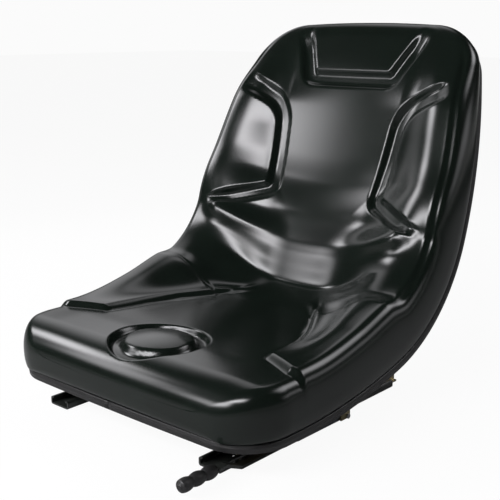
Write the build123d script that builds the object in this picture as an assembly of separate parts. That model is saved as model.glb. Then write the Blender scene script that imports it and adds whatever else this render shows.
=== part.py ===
from build123d import *
import os
from math import cos, exp, pi, radians, sin, sqrt, tan

# Bucket seat of a ride-on mower: a moulded vinyl cushion on a pressed pan, carried by two slide rails.
# Millimetres, +Z up. The sitter faces -Y and the sitter's left is +X, the side with the release lever.
# The origin is the middle of the four mounting holes, on the underside of the lower rails.

# Seat outline, over the bulge of the cushion's walls
seat_width = 474.0
top_width = 374.0
front_corner_radius = 74.0
top_corner_radius = 66.0
front_bow = 4.0
top_crown = 9.0
seat_front_y = -215.0

# Side view of the rim: a level run, a slow rise along the thigh, the hip bend, then the straight back
rim_height = 40.0
front_run = 96.0
thigh_bend_radius = 850.0
thigh_bend_angle = 15.0
hip_bend_radius = 235.0
back_lean = 19.0
back_run = 318.0

# Pressed pan with a turned-down flange, and a flat-floored well that sits on the rails
pan_sheet = 1.5
flange_depth = 9.0
rim_inset = 9.0
well_half_width = 172.0
well_front_y = -165.0
well_rear_y = 135.0
well_front_radius = 12.0
well_rear_radius = 70.0
well_front_rise = 90.0
well_middle_y = 60.0
well_middle_rise = 125.0
well_rear_reach = 100.0
well_rear_rise = 170.0
well_cut_height = 110.0

# Edge trim, a U-shaped strip pushed up over the flange
trim_wall = 2.5
trim_height = 11.5
trim_inner_height = 8.0
trim_joint_x = -12.0
trim_joint_gap = 0.8

# Cushion: heights are above the trim's underside, along the path of the rim
front_height = 79.0
thigh_ridge_height = 86.0
hip_ridge_height = 95.0
back_ridge_height = 91.0
bolster_ridge_height = 75.0
shoulder_ridge_height = 66.0
top_edge_height = 34.0
seat_mid_height = 80.0
seat_low_height = 62.0
crease_height = 33.0
crease_fillet = 6.0
lumbar_height = 59.0
back_foot_height = 45.0
back_mid_height = 43.2
back_top_height = 46.5
back_dish = 5.0
roll_width = 26.0
roll_fullness = 0.8
front_roll_depth = 48.0
top_roll_depth = 30.0
widest_share = 0.35
bolster_step = 8.0
nose_station = 125.0
nose_length = 16.0
nose_half_width = 150.0
nose_slant = 0.5
sitting_half_width = 140.0
hip_half_width = 92.0
crease_half_width = 40.0
lumbar_half_width = 10.0
loin_half_width = 80.0
back_flat_half_width = 106.0
hip_station = 313.0
crease_station = 406.0
lumbar_station = 488.0
lumbar_low_share = 0.35
lumbar_low_rise = 0.5
lumbar_high_share = 0.72
lumbar_high_rise = 0.88
back_foot_share = 0.2
back_mid_share = 0.37
seat_low_share = 0.78
sitting_share = 0.65
seat_fall = 2.0
hip_roll_height = 11.0
hip_roll_reach = 32.0
hip_roll_climb = 35.0
hip_roll_half_width = 182.0
hip_roll_fade = 30.0
section_pitch = 31.0
end_setback = 4.0

# Grooves moulded in the cushion
groove_radius = 13.0
groove_depth = 7.5
button_station = 88.0
button_moat_radius = 57.5
bracket_top_station = 752.0
bracket_upper_station = 720.0
bracket_lower_station = 578.0
bracket_leg_station = 535.0
bracket_top_half_width = 189.0
bracket_upper_half_width = 112.0
bracket_lower_half_width = 99.0
bracket_leg_half_width = 200.0
bracket_upper_bend = 50.0
bracket_lower_bend = 14.0
bracket_leg_bend = 50.0
pad_station = 767.0
pad_half_width = 77.0
pad_top_half_width = 114.0
pad_top_station = 846.0
pad_bend = 16.0

# Slide rails
rail_spacing = 293.0
rail_sheet = 2.5
rail_bend = 2.2
rail_height = 31.0
lower_rail_length = 372.0
lower_rail_width = 38.0
lower_rail_height = 12.0
lip_length = 6.0
upper_rail_length = 350.0
upper_rail_front_y = -149.0
upper_rail_width = 23.0
foot_half_width = 15.6
foot_height = 5.0
mount_hole_radius = 4.5
mount_spacing = 280.0
travel_forward = 100.0
travel_back = 50.0

# Glide shoes on the feet
shoe_length = 30.0
shoe_front_y = -40.0
shoe_rear_y = 115.0
shoe_inner_half_width = 13.2

# Fasteners between the pan and the upper rails
stud_radius = 4.0
stud_length = 12.0
stud_front_y = -79.0
stud_rear_y = 121.0
washer_radius = 8.0
washer_thickness = 1.6
nut_flats = 13.0
nut_height = 6.5

# Travel stops: a post in each lower rail, between two cross pins in the upper rail
stop_radius = 4.0
stop_height = 16.0
stop_y = 0.0
stop_pin_radius = 3.0
stop_pin_height = 13.5
stop_pin_head = 0.4
stop_gap = 0.5

# Release lever on the left rail, turning about an upright pin
lever_offset = 28.0
lever_width = 12.0
lever_thickness = 4.0
lever_bottom = 4.0
lever_rear_y = 39.0
crank_rear_y = -165.0
crank_front_y = -190.0
grip_axis_height = 17.0
tongue_width = 8.0
tongue_rear_y = -205.0
tongue_front_y = -258.0
grip_rear_y = -207.0
grip_front_y = -266.0
grip_waves = 3
grip_radius = 8.7
grip_neck_radius = 6.4
grip_crest_share = 0.35

# Latch teeth on the lever and their slots in the rail
tooth_count = 2
tooth_pitch = 12.5
tooth_width = 5.2
tooth_y = -65.0
tooth_reach = 0.5
comb_margin = 4.0
slot_width = 6.4
slot_margin = 0.6

# Lever bracket, pivot pin and clip
bracket_sheet = 2.5
bracket_rear_y = 50.0
bracket_front_y = -10.0
bracket_gap = 1.0
bracket_top = 27.0
tab_front_y = 30.0
tab_bottom = 3.0
pivot_y = 20.0
pivot_radius = 4.0
pivot_shoulder_radius = 6.0
pivot_head_height = 3.0
pivot_bottom = 1.5
clip_groove_radius = 3.2
clip_radius = 7.0
clip_thickness = 1.0
clip_opening = 5.0
rivet_radius = 2.5
rivet_head_radius = 4.5
rivet_head_height = 2.0
rivet_height = 21.0
rivet_pitch = 40.0

# Blade spring that keeps the lever latched
spring_thickness = 0.8
spring_width = 6.0
spring_bottom = 3.5
spring_front_y = -60.0
spring_screw_radius = 2.0
spring_screw_head_radius = 3.6
spring_screw_head_height = 2.4
spring_screw_y = 44.0

# Clearances
soft_gap = 0.5
sheet_gap = 0.3
glide_gap = 0.3
press_gap = 0.05
running_gap = 0.05
face_gap = 0.1

# Derived places
half_seat = seat_width / 2
rail_x = rail_spacing / 2
side_taper = half_seat - top_width / 2
side_arc_radius = (back_run**2 + side_taper**2) / (2 * side_taper)
thigh_end = front_run + thigh_bend_radius * radians(thigh_bend_angle)
hip_end = thigh_end + hip_bend_radius * radians(90 - back_lean - thigh_bend_angle)
rim_length = hip_end + back_run
plate_top = trim_wall + sheet_gap + flange_depth
cushion_base = plate_top + soft_gap
rail_top_inner = lower_rail_height - rail_sheet


def rim_state(station):
    """Slope angle and place (y, z) of the rim line at a path length from the front."""
    if station <= front_run:
        return 0.0, seat_front_y + station, rim_height
    bend_y = seat_front_y + front_run
    first = (min(station, thigh_end) - front_run) / thigh_bend_radius
    y = bend_y + thigh_bend_radius * sin(first)
    z = rim_height + thigh_bend_radius * (1 - cos(first))
    if station <= thigh_end:
        return first, y, z
    second = first + (min(station, hip_end) - thigh_end) / hip_bend_radius
    y += hip_bend_radius * (sin(second) - sin(first))
    z += hip_bend_radius * (cos(first) - cos(second))
    rest = max(station - hip_end, 0.0)
    return second, y + rest * cos(second), z + rest * sin(second)


def rim_point(station, height):
    """Side-view point (y, z) at a height above the rim line, on the sitter's side."""
    angle, y, z = rim_state(station)
    return y - height * sin(angle), z + height * cos(angle)


def section_plane(station):
    """Plane across the rim line: its x is the seat's X, its y points to the sitter's side."""
    angle, y, z = rim_state(station)
    return Plane(origin=(0, y, z), x_dir=(1, 0, 0), z_dir=(0, -cos(angle), -sin(angle)))


def smooth_step(start, end, value):
    """Rise from 0 to 1 between start and end, level at both."""
    share = min(max((value - start) / (end - start), 0.0), 1.0)
    return share * share * (3 - 2 * share)


def gentle_step(start, end, value):
    """Rise from 0 to 1 between start and end, level and without curvature at both."""
    share = min(max((value - start) / (end - start), 0.0), 1.0)
    return share**3 * (10 - 15 * share + 6 * share * share)


def smooth_through(knots, station):
    """Smooth curve through (station, value) knots that never overshoots them."""
    count = len(knots)
    if station <= knots[0][0]:
        return knots[0][1]
    if station >= knots[-1][0]:
        return knots[-1][1]
    slopes = [(knots[k + 1][1] - knots[k][1]) / (knots[k + 1][0] - knots[k][0]) for k in range(count - 1)]
    tangents = [0.0] * count
    for k in range(1, count - 1):
        if slopes[k - 1] * slopes[k] > 0:
            tangents[k] = 2 * slopes[k - 1] * slopes[k] / (slopes[k - 1] + slopes[k])
    k = max(i for i in range(count - 1) if knots[i][0] <= station)
    span = knots[k + 1][0] - knots[k][0]
    u = (station - knots[k][0]) / span
    rise = knots[k][1] * (1 + 2 * u) * (1 - u) ** 2 + knots[k + 1][1] * u * u * (3 - 2 * u)
    return rise + span * (tangents[k] * u * (1 - u) ** 2 - tangents[k + 1] * u * u * (1 - u))


def corner_inset(distance, radius):
    """How far a rounded corner of the outline draws in at a distance from its end."""
    left = max(radius - distance, 0.0)
    return radius - sqrt(max(radius**2 - left**2, 0.0))


def end_half_width(distance, side, half_edge, radius, bow):
    """Half width near an end with a bowed edge and round corners, at a distance from the bow's apex."""
    drop = bow * ((half_edge - radius) / half_edge) ** 2
    if distance < drop:
        return half_edge * sqrt(max(distance, 0.0) / bow)
    return side - corner_inset(distance - drop, radius)


def half_width(station):
    """Half width of the cushion over its bulge."""
    rise = max(station - hip_end, 0.0)
    side = half_seat - side_arc_radius + sqrt(side_arc_radius**2 - rise**2)
    front = end_half_width(station, side, half_seat, front_corner_radius, front_bow)
    top = end_half_width(rim_length - station, side, top_width / 2, top_corner_radius, top_crown)
    return min(front, top)


def ridge_height(station):
    """Height of the outer roll's crest."""
    hip_mid = (thigh_end + hip_end) / 2
    return smooth_through(
        [
            (0.0, front_height),
            (nose_station, front_height),
            (thigh_end * 0.75, thigh_ridge_height),
            (thigh_end, hip_ridge_height),
            (hip_mid, hip_ridge_height),
            (hip_end, back_ridge_height),
            (hip_end + back_run * 0.3, bolster_ridge_height),
            (hip_end + back_run * 0.6, shoulder_ridge_height),
            (rim_length, top_edge_height),
        ],
        station,
    )


def seat_line(station):
    """Height of the seat's middle line, carried on under the back."""
    return smooth_through(
        [
            (0.0, front_height),
            (button_station, seat_mid_height),
            (nose_station, seat_mid_height - seat_fall),
            (thigh_end * seat_low_share, seat_low_height),
            (crease_station, crease_height),
            (lumbar_station, crease_height / 2),
        ],
        station,
    )


def back_line(station):
    """Height of the back's middle line: a lumbar swell that stands parallel to the back, then the back."""
    span = lumbar_station - crease_station
    rise = lumbar_height - crease_height
    return smooth_through(
        [
            (crease_station - span, 0.0),
            (crease_station, crease_height),
            (crease_station + span * lumbar_low_share, crease_height + rise * lumbar_low_rise),
            (crease_station + span * lumbar_high_share, crease_height + rise * lumbar_high_rise),
            (lumbar_station, lumbar_height),
            (hip_end, (lumbar_height + back_foot_height) / 2),
            (hip_end + back_run * back_foot_share, back_foot_height),
            (hip_end + back_run * back_mid_share, back_mid_height),
            (pad_station, back_top_height),
            (rim_length, top_edge_height),
        ],
        station,
    )


def middle_height(station):
    """Height of the sitting surface on the middle line, with a fillet in the crease."""
    seat = seat_line(station)
    back = back_line(station)
    return (seat + back + sqrt((seat - back) ** 2 + crease_fillet**2)) / 2


def bolster_foot(station):
    """Half width at which the side bolster starts to rise."""
    return smooth_through(
        [
            (nose_station, nose_half_width),
            (thigh_end * sitting_share, sitting_half_width),
            (hip_station, hip_half_width),
            (crease_station, crease_half_width),
            (lumbar_station, lumbar_half_width),
            (hip_end, loin_half_width),
            (hip_end + back_run * back_foot_share, back_flat_half_width),
            (rim_length, back_flat_half_width),
        ],
        station,
    )


def thigh_lift(station, x):
    """Extra height of the thigh bolster behind its slanted nose."""
    nose = nose_station - nose_slant * (abs(x) - nose_half_width)
    along = smooth_step(nose, nose + nose_length, station) * (1 - smooth_step(thigh_end, hip_end, station))
    foot = bolster_foot(station)
    across = smooth_step(foot - nose_length / 2, foot + nose_length / 2, abs(x))
    return bolster_step * along * across


def hip_climb(x):
    """How far up the back the lumbar swell bends away from the middle line."""
    return hip_roll_climb * (x / hip_roll_half_width) ** 2


def hip_roll(station, x):
    """Height of the roll that carries the lumbar swell on to the hips."""
    away = (station - lumbar_station - hip_climb(x)) / hip_roll_reach
    inner = hip_roll_half_width - hip_roll_fade / 2
    fade = 1 - smooth_step(inner, hip_roll_half_width + hip_roll_fade, abs(x))
    return hip_roll_height * exp(-away * away) * fade


def dish(station, x):
    """Hollow of the back's middle panel across its width."""
    start = smooth_step(hip_end - hip_roll_fade, hip_end + back_run * back_foot_share, station)
    end = smooth_step(bracket_upper_station, pad_station + hip_roll_fade, station)
    return back_dish * start * (1 - end) * min(abs(x) / back_flat_half_width, 1.0) ** 2


def top_height(station, x):
    """Height of the cushion's top inside its outer roll."""
    crest = max(half_width(station) - roll_width, 1.0)
    foot = min(bolster_foot(station), 0.75 * crest)
    rise = gentle_step(foot, crest, abs(x))
    bent = smooth_step(thigh_end, crease_station, station)
    bent *= 1 - smooth_step(hip_end, bracket_upper_station, station)
    middle = middle_height(station - hip_climb(x) * bent)
    base = middle + (ridge_height(station) - middle) * rise
    return base + thigh_lift(station, x) + hip_roll(station, x) * rise + dish(station, x)


def end_roll(station, x):
    """Share of the full height near the front and top edges, where the cushion rolls over."""
    front_distance = station - front_bow * (x / half_seat) ** 2
    top_distance = rim_length - station - top_crown * (2 * x / top_width) ** 2
    front = min(max(1 - front_distance / front_roll_depth, 0.0), 1.0)
    top = min(max(1 - top_distance / top_roll_depth, 0.0), 1.0)
    return sqrt(1 - front**2) * sqrt(1 - top**2)


def widest_height(station):
    """Height at which the wall bulges most."""
    return cushion_base + widest_share * (ridge_height(station) - cushion_base)


def skin_height(station, x):
    """Height of the finished cushion surface inside its outer roll."""
    low = widest_height(station)
    return low + (top_height(station, x) - low) * end_roll(station, x)


def skin_point(station, x, lift=0.0):
    """Point on the cushion surface, or above it."""
    y, z = rim_point(station, skin_height(station, x) + lift)
    return Vector(x, y, z)


def base_height(station):
    """Height of the cushion's underside, which tucks in under the bulge at both ends."""
    near_end = min(station, rim_length - station)
    left = max(1 - near_end / rim_inset, 0.0)
    low = widest_height(station)
    return low - (low - cushion_base) * sqrt(1 - left**2)


def crown_points(station, inner_count=7, roll_count=4):
    """Half section of the top, from the middle line over the crest to the widest point."""
    width = half_width(station)
    crest = max(width - roll_width, width / 2)
    low = widest_height(station)
    points = []
    for k in range(inner_count):
        x = crest * k / (inner_count - 1)
        points.append((x, skin_height(station, x)))
    rise = points[-1][1] - low
    for k in range(1, roll_count + 1):
        turn = pi / 2 * k / roll_count
        x = crest + (width - crest) * sin(turn) ** roll_fullness
        points.append((x, low + rise * max(cos(turn), 0.0) ** roll_fullness))
    return points


def wall_points(station, count=2):
    """Half section of the wall, from the widest point in and under to the rim."""
    width = half_width(station)
    low = widest_height(station)
    base = base_height(station)
    points = []
    for k in range(count + 1):
        turn = pi / 2 * k / count
        points.append((width - rim_inset * (1 - cos(turn)), low - (low - base) * sin(turn)))
    return points


def shared_parameters(points):
    """Spline parameters by chord length, shared by all sections so that the loft stays light."""
    lengths = [0.0]
    for a, b in zip(points, points[1:]):
        lengths.append(lengths[-1] + (Vector(*b) - Vector(*a)).length)
    return [length / lengths[-1] for length in lengths]


def mirrored(points):
    """Full section from a half section that starts on the middle line."""
    return [(-x, t) for x, t in reversed(points[1:])] + points


def cushion_section(station, crown_parameters, wall_parameters):
    """Closed section of the cushion across the rim line."""
    wall = wall_points(station)
    other_wall = [(-x, t) for x, t in wall]
    edges = [
        Edge.make_spline(mirrored(crown_points(station)), parameters=crown_parameters),
        Edge.make_spline(wall, parameters=wall_parameters),
        Edge.make_line(wall[-1], other_wall[-1]),
        Edge.make_spline(other_wall, parameters=wall_parameters),
    ]
    return section_plane(station) * Face(Wire(edges))


def cushion_stations():
    """Section stations: two inside each end's roll, then even along the body."""
    first = front_roll_depth
    last = rim_length - top_roll_depth
    count = round((last - first) / section_pitch)
    body = [first + (last - first) * k / count for k in range(count + 1)]
    top_end = [rim_length - top_roll_depth / 3, rim_length - end_setback]
    return [end_setback, front_roll_depth / 3] + body + top_end


def rounded_path(points, radii):
    """Path of straight runs through points in space, with an arc of its own radius at each corner."""
    edges = []
    start = points[0]
    for before, corner, after, radius in zip(points, points[1:], points[2:], radii):
        back = (before - corner).normalized()
        ahead = (after - corner).normalized()
        half_angle = radians(back.get_angle(ahead)) / 2
        reach = radius / tan(half_angle)
        first = corner + back * reach
        last = corner + ahead * reach
        middle = corner + (back + ahead).normalized() * (radius / sin(half_angle) - radius)
        edges.append(Edge.make_line(start, first))
        edges.append(Edge.make_three_point_arc(first, middle, last))
        start = last
    edges.append(Edge.make_line(start, points[-1]))
    return Wire(edges)


def groove(places, radii):
    """Round cutter along straight runs between (station, x) places on the cushion."""
    lift = groove_radius - groove_depth
    path = rounded_path([skin_point(station, x, lift) for station, x in places], radii)
    section = Plane(origin=path @ 0, z_dir=path % 0) * Circle(groove_radius)
    return sweep(section, path=path)


def bracket_groove(side):
    """Bracket-shaped groove that outlines one side bolster of the back."""
    upper_middle_station = (bracket_top_station + bracket_upper_station) / 2
    upper_middle_half_width = (bracket_top_half_width + bracket_upper_half_width) / 2
    lower_middle_station = (bracket_leg_station + bracket_lower_station) / 2
    lower_middle_half_width = (bracket_leg_half_width + bracket_lower_half_width) / 2
    places = [
        (bracket_top_station, side * bracket_top_half_width),
        (upper_middle_station, side * upper_middle_half_width),
        (bracket_upper_station, side * bracket_upper_half_width),
        (bracket_lower_station, side * bracket_lower_half_width),
        (lower_middle_station, side * lower_middle_half_width),
        (bracket_leg_station, side * bracket_leg_half_width),
    ]
    return groove(places, [bracket_leg_bend, bracket_upper_bend, bracket_lower_bend, bracket_leg_bend])


def pad_groove():
    """Groove round the sides and foot of the head pad."""
    places = [
        (pad_top_station, -pad_top_half_width),
        (pad_station, -pad_half_width),
        (pad_station, pad_half_width),
        (pad_top_station, pad_top_half_width),
    ]
    return groove(places, [pad_bend, pad_bend])


def button_moat():
    """Ring-shaped moat round the button in the seat."""
    lift = groove_radius - groove_depth
    place = section_plane(button_station)
    level = skin_height(button_station, 0.0) + lift
    upright = Plane(origin=place.from_local_coords((0, level, 0)), z_dir=place.y_dir)
    return upright * Torus(button_moat_radius, groove_radius)


def seat_cushion():
    """Moulded foam with its skin: the lofted body, its foot in the pan's well, and the grooves."""
    reference = front_run + front_roll_depth
    crown_parameters = shared_parameters(mirrored(crown_points(reference)))
    wall_parameters = shared_parameters(wall_points(reference))
    sections = [cushion_section(s, crown_parameters, wall_parameters) for s in cushion_stations()]
    body = loft(sections)
    foot = well(pan_sheet + soft_gap) - bent_slab(cushion_base + groove_depth, well_cut_height)
    cutters = [bracket_groove(1), bracket_groove(-1), pad_groove(), button_moat()]
    return body + foot - cutters


def side_profile(low, high, start, end):
    """Side-view face of a bent sheet between two heights and two stations."""
    breaks = [s for s in (front_run, thigh_end, hip_end) if start < s < end]
    stops = [start] + breaks + [end]
    edges = []
    for height in (low, high):
        for a, b in zip(stops, stops[1:]):
            first, middle, last = (Vector(0, *rim_point(s, height)) for s in (a, (a + b) / 2, b))
            if b <= front_run or a >= hip_end:
                edges.append(Edge.make_line(first, last))
            else:
                edges.append(Edge.make_three_point_arc(first, middle, last))
    for station in (start, end):
        edges.append(Edge.make_line((0, *rim_point(station, low)), (0, *rim_point(station, high))))
    return Face(Wire.combine(edges)[0])


def bent_slab(low, high):
    """Wide bent slab that follows the whole rim line between two heights."""
    profile = side_profile(low, high, -front_run, rim_length + front_run)
    return extrude(profile, half_seat, dir=(1, 0, 0), both=True)


def front_outline(grow):
    """Plan of the seat's front part: straight sides, round corners and a bowed front edge."""
    width = half_seat - rim_inset + grow
    front = seat_front_y + rim_inset - grow
    rear = seat_front_y + front_run
    edges = [
        Edge.make_three_point_arc((-width, front + front_bow), (0, front), (width, front + front_bow)),
        Edge.make_line((width, front + front_bow), (width, rear)),
        Edge.make_line((width, rear), (-width, rear)),
        Edge.make_line((-width, rear), (-width, front + front_bow)),
    ]
    face = Face(Wire(edges))
    corners = face.vertices().sort_by(Axis.Y)[:2]
    return face.fillet_2d(front_corner_radius - rim_inset + grow, corners)


def back_outline(grow):
    """Flat outline of the back: sides that curve in, round corners and a crowned top edge."""
    width = half_seat - rim_inset + grow
    height = back_run - rim_inset + grow
    corner = height - top_crown
    side = width - side_arc_radius + sqrt(side_arc_radius**2 - corner**2)
    middle = width - side_arc_radius + sqrt(side_arc_radius**2 - (corner / 2) ** 2)
    edges = [
        Edge.make_line((-width, 0), (width, 0)),
        Edge.make_three_point_arc((width, 0), (middle, corner / 2), (side, corner)),
        Edge.make_three_point_arc((side, corner), (0, height), (-side, corner)),
        Edge.make_three_point_arc((-side, corner), (-middle, corner / 2), (-width, 0)),
    ]
    face = Face(Wire(edges))
    corners = face.vertices().sort_by(Axis.Y)[-2:]
    return face.fillet_2d(top_corner_radius - rim_inset + grow, corners)


def rim_plate(low, high, grow=0.0):
    """Bent plate with the seat's outline, set in from the bulge, between two heights above the rim line."""
    width = half_seat - rim_inset + grow
    front = extrude(Plane.XY.offset(rim_height + low) * front_outline(grow), high - low)
    bend = extrude(side_profile(low, high, front_run, hip_end), width, dir=(1, 0, 0), both=True)
    angle = rim_state(hip_end)[0]
    back_plane = Plane(
        origin=(0, *rim_point(hip_end, low)), x_dir=(1, 0, 0), z_dir=(0, -sin(angle), cos(angle))
    )
    back = extrude(back_plane * back_outline(grow), high - low)
    return front + bend + back


def well(inset):
    """The pan's well as a solid, drawn in on all sides: a flat floor with a ramp up to the back."""
    outline = Polyline(
        (well_front_y, rail_height),
        (well_rear_y, rail_height),
        (well_rear_y + well_rear_reach, well_rear_rise),
        (well_middle_y, well_middle_rise),
        (well_front_y - well_front_radius, well_front_rise),
        close=True,
    )
    face = make_face(outline).face()
    if inset:
        face = offset(face, -inset, kind=Kind.INTERSECTION).face()
    rear = face.vertices().group_by(Axis.Y)[0].sort_by(Axis.X)[-1]
    face = face.fillet_2d(well_rear_radius - inset, [rear])
    front = face.vertices().group_by(Axis.Y)[0].sort_by(Axis.X)[0]
    face = face.fillet_2d(well_front_radius - inset, [front])
    return extrude(Plane.YZ * face, well_half_width - inset, both=True)


def seat_pan():
    """Pressed pan: the bent plate, its turned-down flange and the well."""
    plate = rim_plate(plate_top - pan_sheet, plate_top)
    flange_bottom = plate_top - flange_depth
    flange = rim_plate(flange_bottom, plate_top - pan_sheet) - rim_plate(
        flange_bottom, plate_top - pan_sheet, -pan_sheet
    )
    above = bent_slab(plate_top - pan_sheet / 2, well_cut_height)
    walls = well(0.0) - well(pan_sheet) - above
    return plate - well(pan_sheet) + flange + walls


def edge_trim():
    """U-shaped strip over the flange, all the way round, with a butt joint at the front."""
    outer = sheet_gap + trim_wall
    inner = -pan_sheet - sheet_gap
    strip = rim_plate(0, trim_height, outer) - rim_plate(trim_wall, trim_height, sheet_gap)
    strip += rim_plate(trim_wall, trim_inner_height, inner)
    strip -= rim_plate(0, trim_height, inner - trim_wall)
    joint = Pos(trim_joint_x, seat_front_y, rim_height) * Box(trim_joint_gap, 4 * rim_inset, 4 * trim_height)
    return strip - joint


def sheet_rail(points, length, front_y):
    """Folded rail: a sheet along a line of (x, z) points, run out along Y."""
    line = FilletPolyline(*points, radius=rail_bend)
    section = Plane.XZ * trace(line, rail_sheet)
    return Pos(0, front_y, 0) * extrude(section, -length)


def at_rail(side, shape):
    """Move a shape drawn about a rail's middle line to the left (+1) or right (-1) rail."""
    return Pos(side * rail_x, 0, 0) * shape


def upright(radius, bottom, top, x=0.0, y=0.0):
    """Upright cylinder between two heights."""
    return Pos(x, y, bottom) * Cylinder(radius, top - bottom, align=(Align.CENTER, Align.CENTER, Align.MIN))


def crosswise(radius, start, end, y, z):
    """Cylinder along X between two places."""
    return Pos(start, y, z) * Rot(0, 90, 0) * Cylinder(
        radius, end - start, align=(Align.CENTER, Align.CENTER, Align.MIN)
    )


def lower_rail(side):
    """In-turned C channel with mounting holes, the stop post's hole and, on the left, latch slots."""
    wall = lower_rail_width / 2 - rail_sheet / 2
    lip_end = lower_rail_width / 2 - lip_length
    low = rail_sheet / 2
    high = lower_rail_height - rail_sheet / 2
    points = [(-lip_end, high), (-wall, high), (-wall, low), (wall, low), (wall, high), (lip_end, high)]
    rail = sheet_rail(points, lower_rail_length, -lower_rail_length / 2)
    for y in (-mount_spacing / 2, mount_spacing / 2):
        rail -= upright(mount_hole_radius, 0, rail_sheet, y=y)
    rail -= upright(stop_radius + press_gap, 0, rail_sheet, y=stop_y)
    if side > 0:
        rail -= latch_slots()
    return at_rail(side, rail)


def latch_slots():
    """Row of slots in the rail's outer wall that the latch teeth drop in."""
    first = tooth_y - travel_forward - (tooth_count - 1) * tooth_pitch
    count = round((travel_forward + travel_back) / tooth_pitch) + tooth_count
    height = lever_thickness + 2 * slot_margin
    slot = Box(2 * rail_sheet, slot_width, height)
    z = lever_bottom + lever_thickness / 2
    return [Pos(lower_rail_width / 2, first + k * tooth_pitch, z) * slot for k in range(count)]


def upper_rail(side):
    """Hat section whose out-turned feet run under the lower rail's lips."""
    leg = upper_rail_width / 2 - rail_sheet / 2
    foot = foot_height + rail_sheet / 2
    top = rail_height - rail_sheet / 2
    tip = foot_half_width
    points = [(-tip, foot), (-leg, foot), (-leg, top), (leg, top), (leg, foot), (tip, foot)]
    rail = sheet_rail(points, upper_rail_length, upper_rail_front_y)
    for y in (stud_front_y, stud_rear_y):
        rail -= upright(stud_radius + press_gap, rail_height - rail_sheet, rail_height, y=y)
    for y in stop_pin_places():
        radius = stop_pin_radius + press_gap
        rail -= crosswise(radius, -upper_rail_width, upper_rail_width, y, stop_pin_height)
    if side > 0:
        for y in rivet_places():
            rail -= crosswise(rivet_radius + press_gap, 0, upper_rail_width, y, rivet_height)
    return at_rail(side, rail)


def stop_pin_places():
    """Cross pins either side of the stop post, at the ends of the travel."""
    reach = stop_radius + stop_pin_radius + stop_gap
    return [stop_y - travel_back - reach, stop_y + travel_forward + reach]


def rivet_places():
    """Rivets of the lever bracket along the rail."""
    middle = (bracket_front_y + bracket_rear_y) / 2
    return [middle - rivet_pitch / 2, middle + rivet_pitch / 2]


def glide_shoes():
    """Nylon clips on the feet of both upper rails, near the ends of their engaged length."""
    bottom = rail_sheet + glide_gap
    height = rail_top_inner - glide_gap - bottom
    outer = lower_rail_width / 2 - rail_sheet - glide_gap
    width = outer - shoe_inner_half_width
    block = Pos((outer + shoe_inner_half_width) / 2, 0, bottom + height / 2) * Box(width, shoe_length, height)
    foot = Pos(0, 0, foot_height + rail_sheet / 2) * Box(2 * foot_half_width, shoe_length, rail_sheet)
    clip = block - foot
    shoes = []
    for side in (1, -1):
        for y in (shoe_front_y, shoe_rear_y):
            shoes.append(at_rail(side, Pos(0, y, 0) * clip))
            shoes.append(at_rail(side, Pos(0, y, 0) * Rot(0, 0, 180) * clip))
    return Compound(children=[Part(shoe.wrapped) for shoe in shoes])


def at_studs(shape):
    """One copy of a shape at each of the four pan studs."""
    copies = []
    for side in (1, -1):
        for y in (stud_front_y, stud_rear_y):
            copies.append(at_rail(side, Pos(0, y, 0) * shape))
    return Compound(children=[Part(copy.wrapped) for copy in copies])


def pan_studs():
    """Studs welded under the pan's floor."""
    return at_studs(upright(stud_radius, rail_height - stud_length, rail_height))


def rail_washers():
    """Washers between the upper rails and the nuts."""
    top = rail_height - rail_sheet
    bottom = top - washer_thickness
    ring = upright(washer_radius, bottom, top) - upright(stud_radius + press_gap, bottom, top)
    return at_studs(ring)


def rail_nuts():
    """Hexagon nuts on the studs."""
    top = rail_height - rail_sheet - washer_thickness
    hexagon = RegularPolygon(nut_flats / 2, 6, major_radius=False) - Circle(stud_radius + press_gap)
    return at_studs(Pos(0, 0, top - nut_height) * extrude(hexagon, nut_height))


def travel_stops():
    """Posts pressed into the lower rails."""
    posts = [at_rail(side, upright(stop_radius, 0, stop_height, y=stop_y)) for side in (1, -1)]
    return Compound(children=[Part(post.wrapped) for post in posts])


def stop_pins():
    """Cross pins riveted through the upper rails' legs."""
    end = upper_rail_width / 2 + stop_pin_head
    pins = []
    for side in (1, -1):
        for y in stop_pin_places():
            pins.append(at_rail(side, crosswise(stop_pin_radius, -end, end, y, stop_pin_height)))
    return Compound(children=[Part(pin.wrapped) for pin in pins])


def lever_bar():
    """Flat bar beside the rail, cranked up at the front, with a narrow tongue for the grip."""
    middle = lever_bottom + lever_thickness / 2
    line = FilletPolyline(
        (lever_rear_y, middle),
        (crank_rear_y, middle),
        (crank_front_y, grip_axis_height),
        (tongue_front_y, grip_axis_height),
        radius=lever_thickness,
    )
    bar = extrude(Plane.YZ * trace(line, lever_thickness), lever_width / 2, both=True)
    shoulder = (lever_width - tongue_width) / 2
    length = tongue_rear_y - tongue_front_y
    for side in (1, -1):
        place = Pos(
            side * (tongue_width + shoulder) / 2, (tongue_rear_y + tongue_front_y) / 2, grip_axis_height
        )
        bar -= place * Box(shoulder, length, 2 * lever_thickness)
    return bar


def release_lever():
    """Lever bar with its pivot hole."""
    bar = at_rail(1, Pos(lever_offset, 0, 0) * lever_bar())
    top = lever_bottom + lever_thickness
    hole = upright(pivot_radius + running_gap, lever_bottom, top, lever_offset, pivot_y)
    return bar - at_rail(1, hole)


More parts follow.
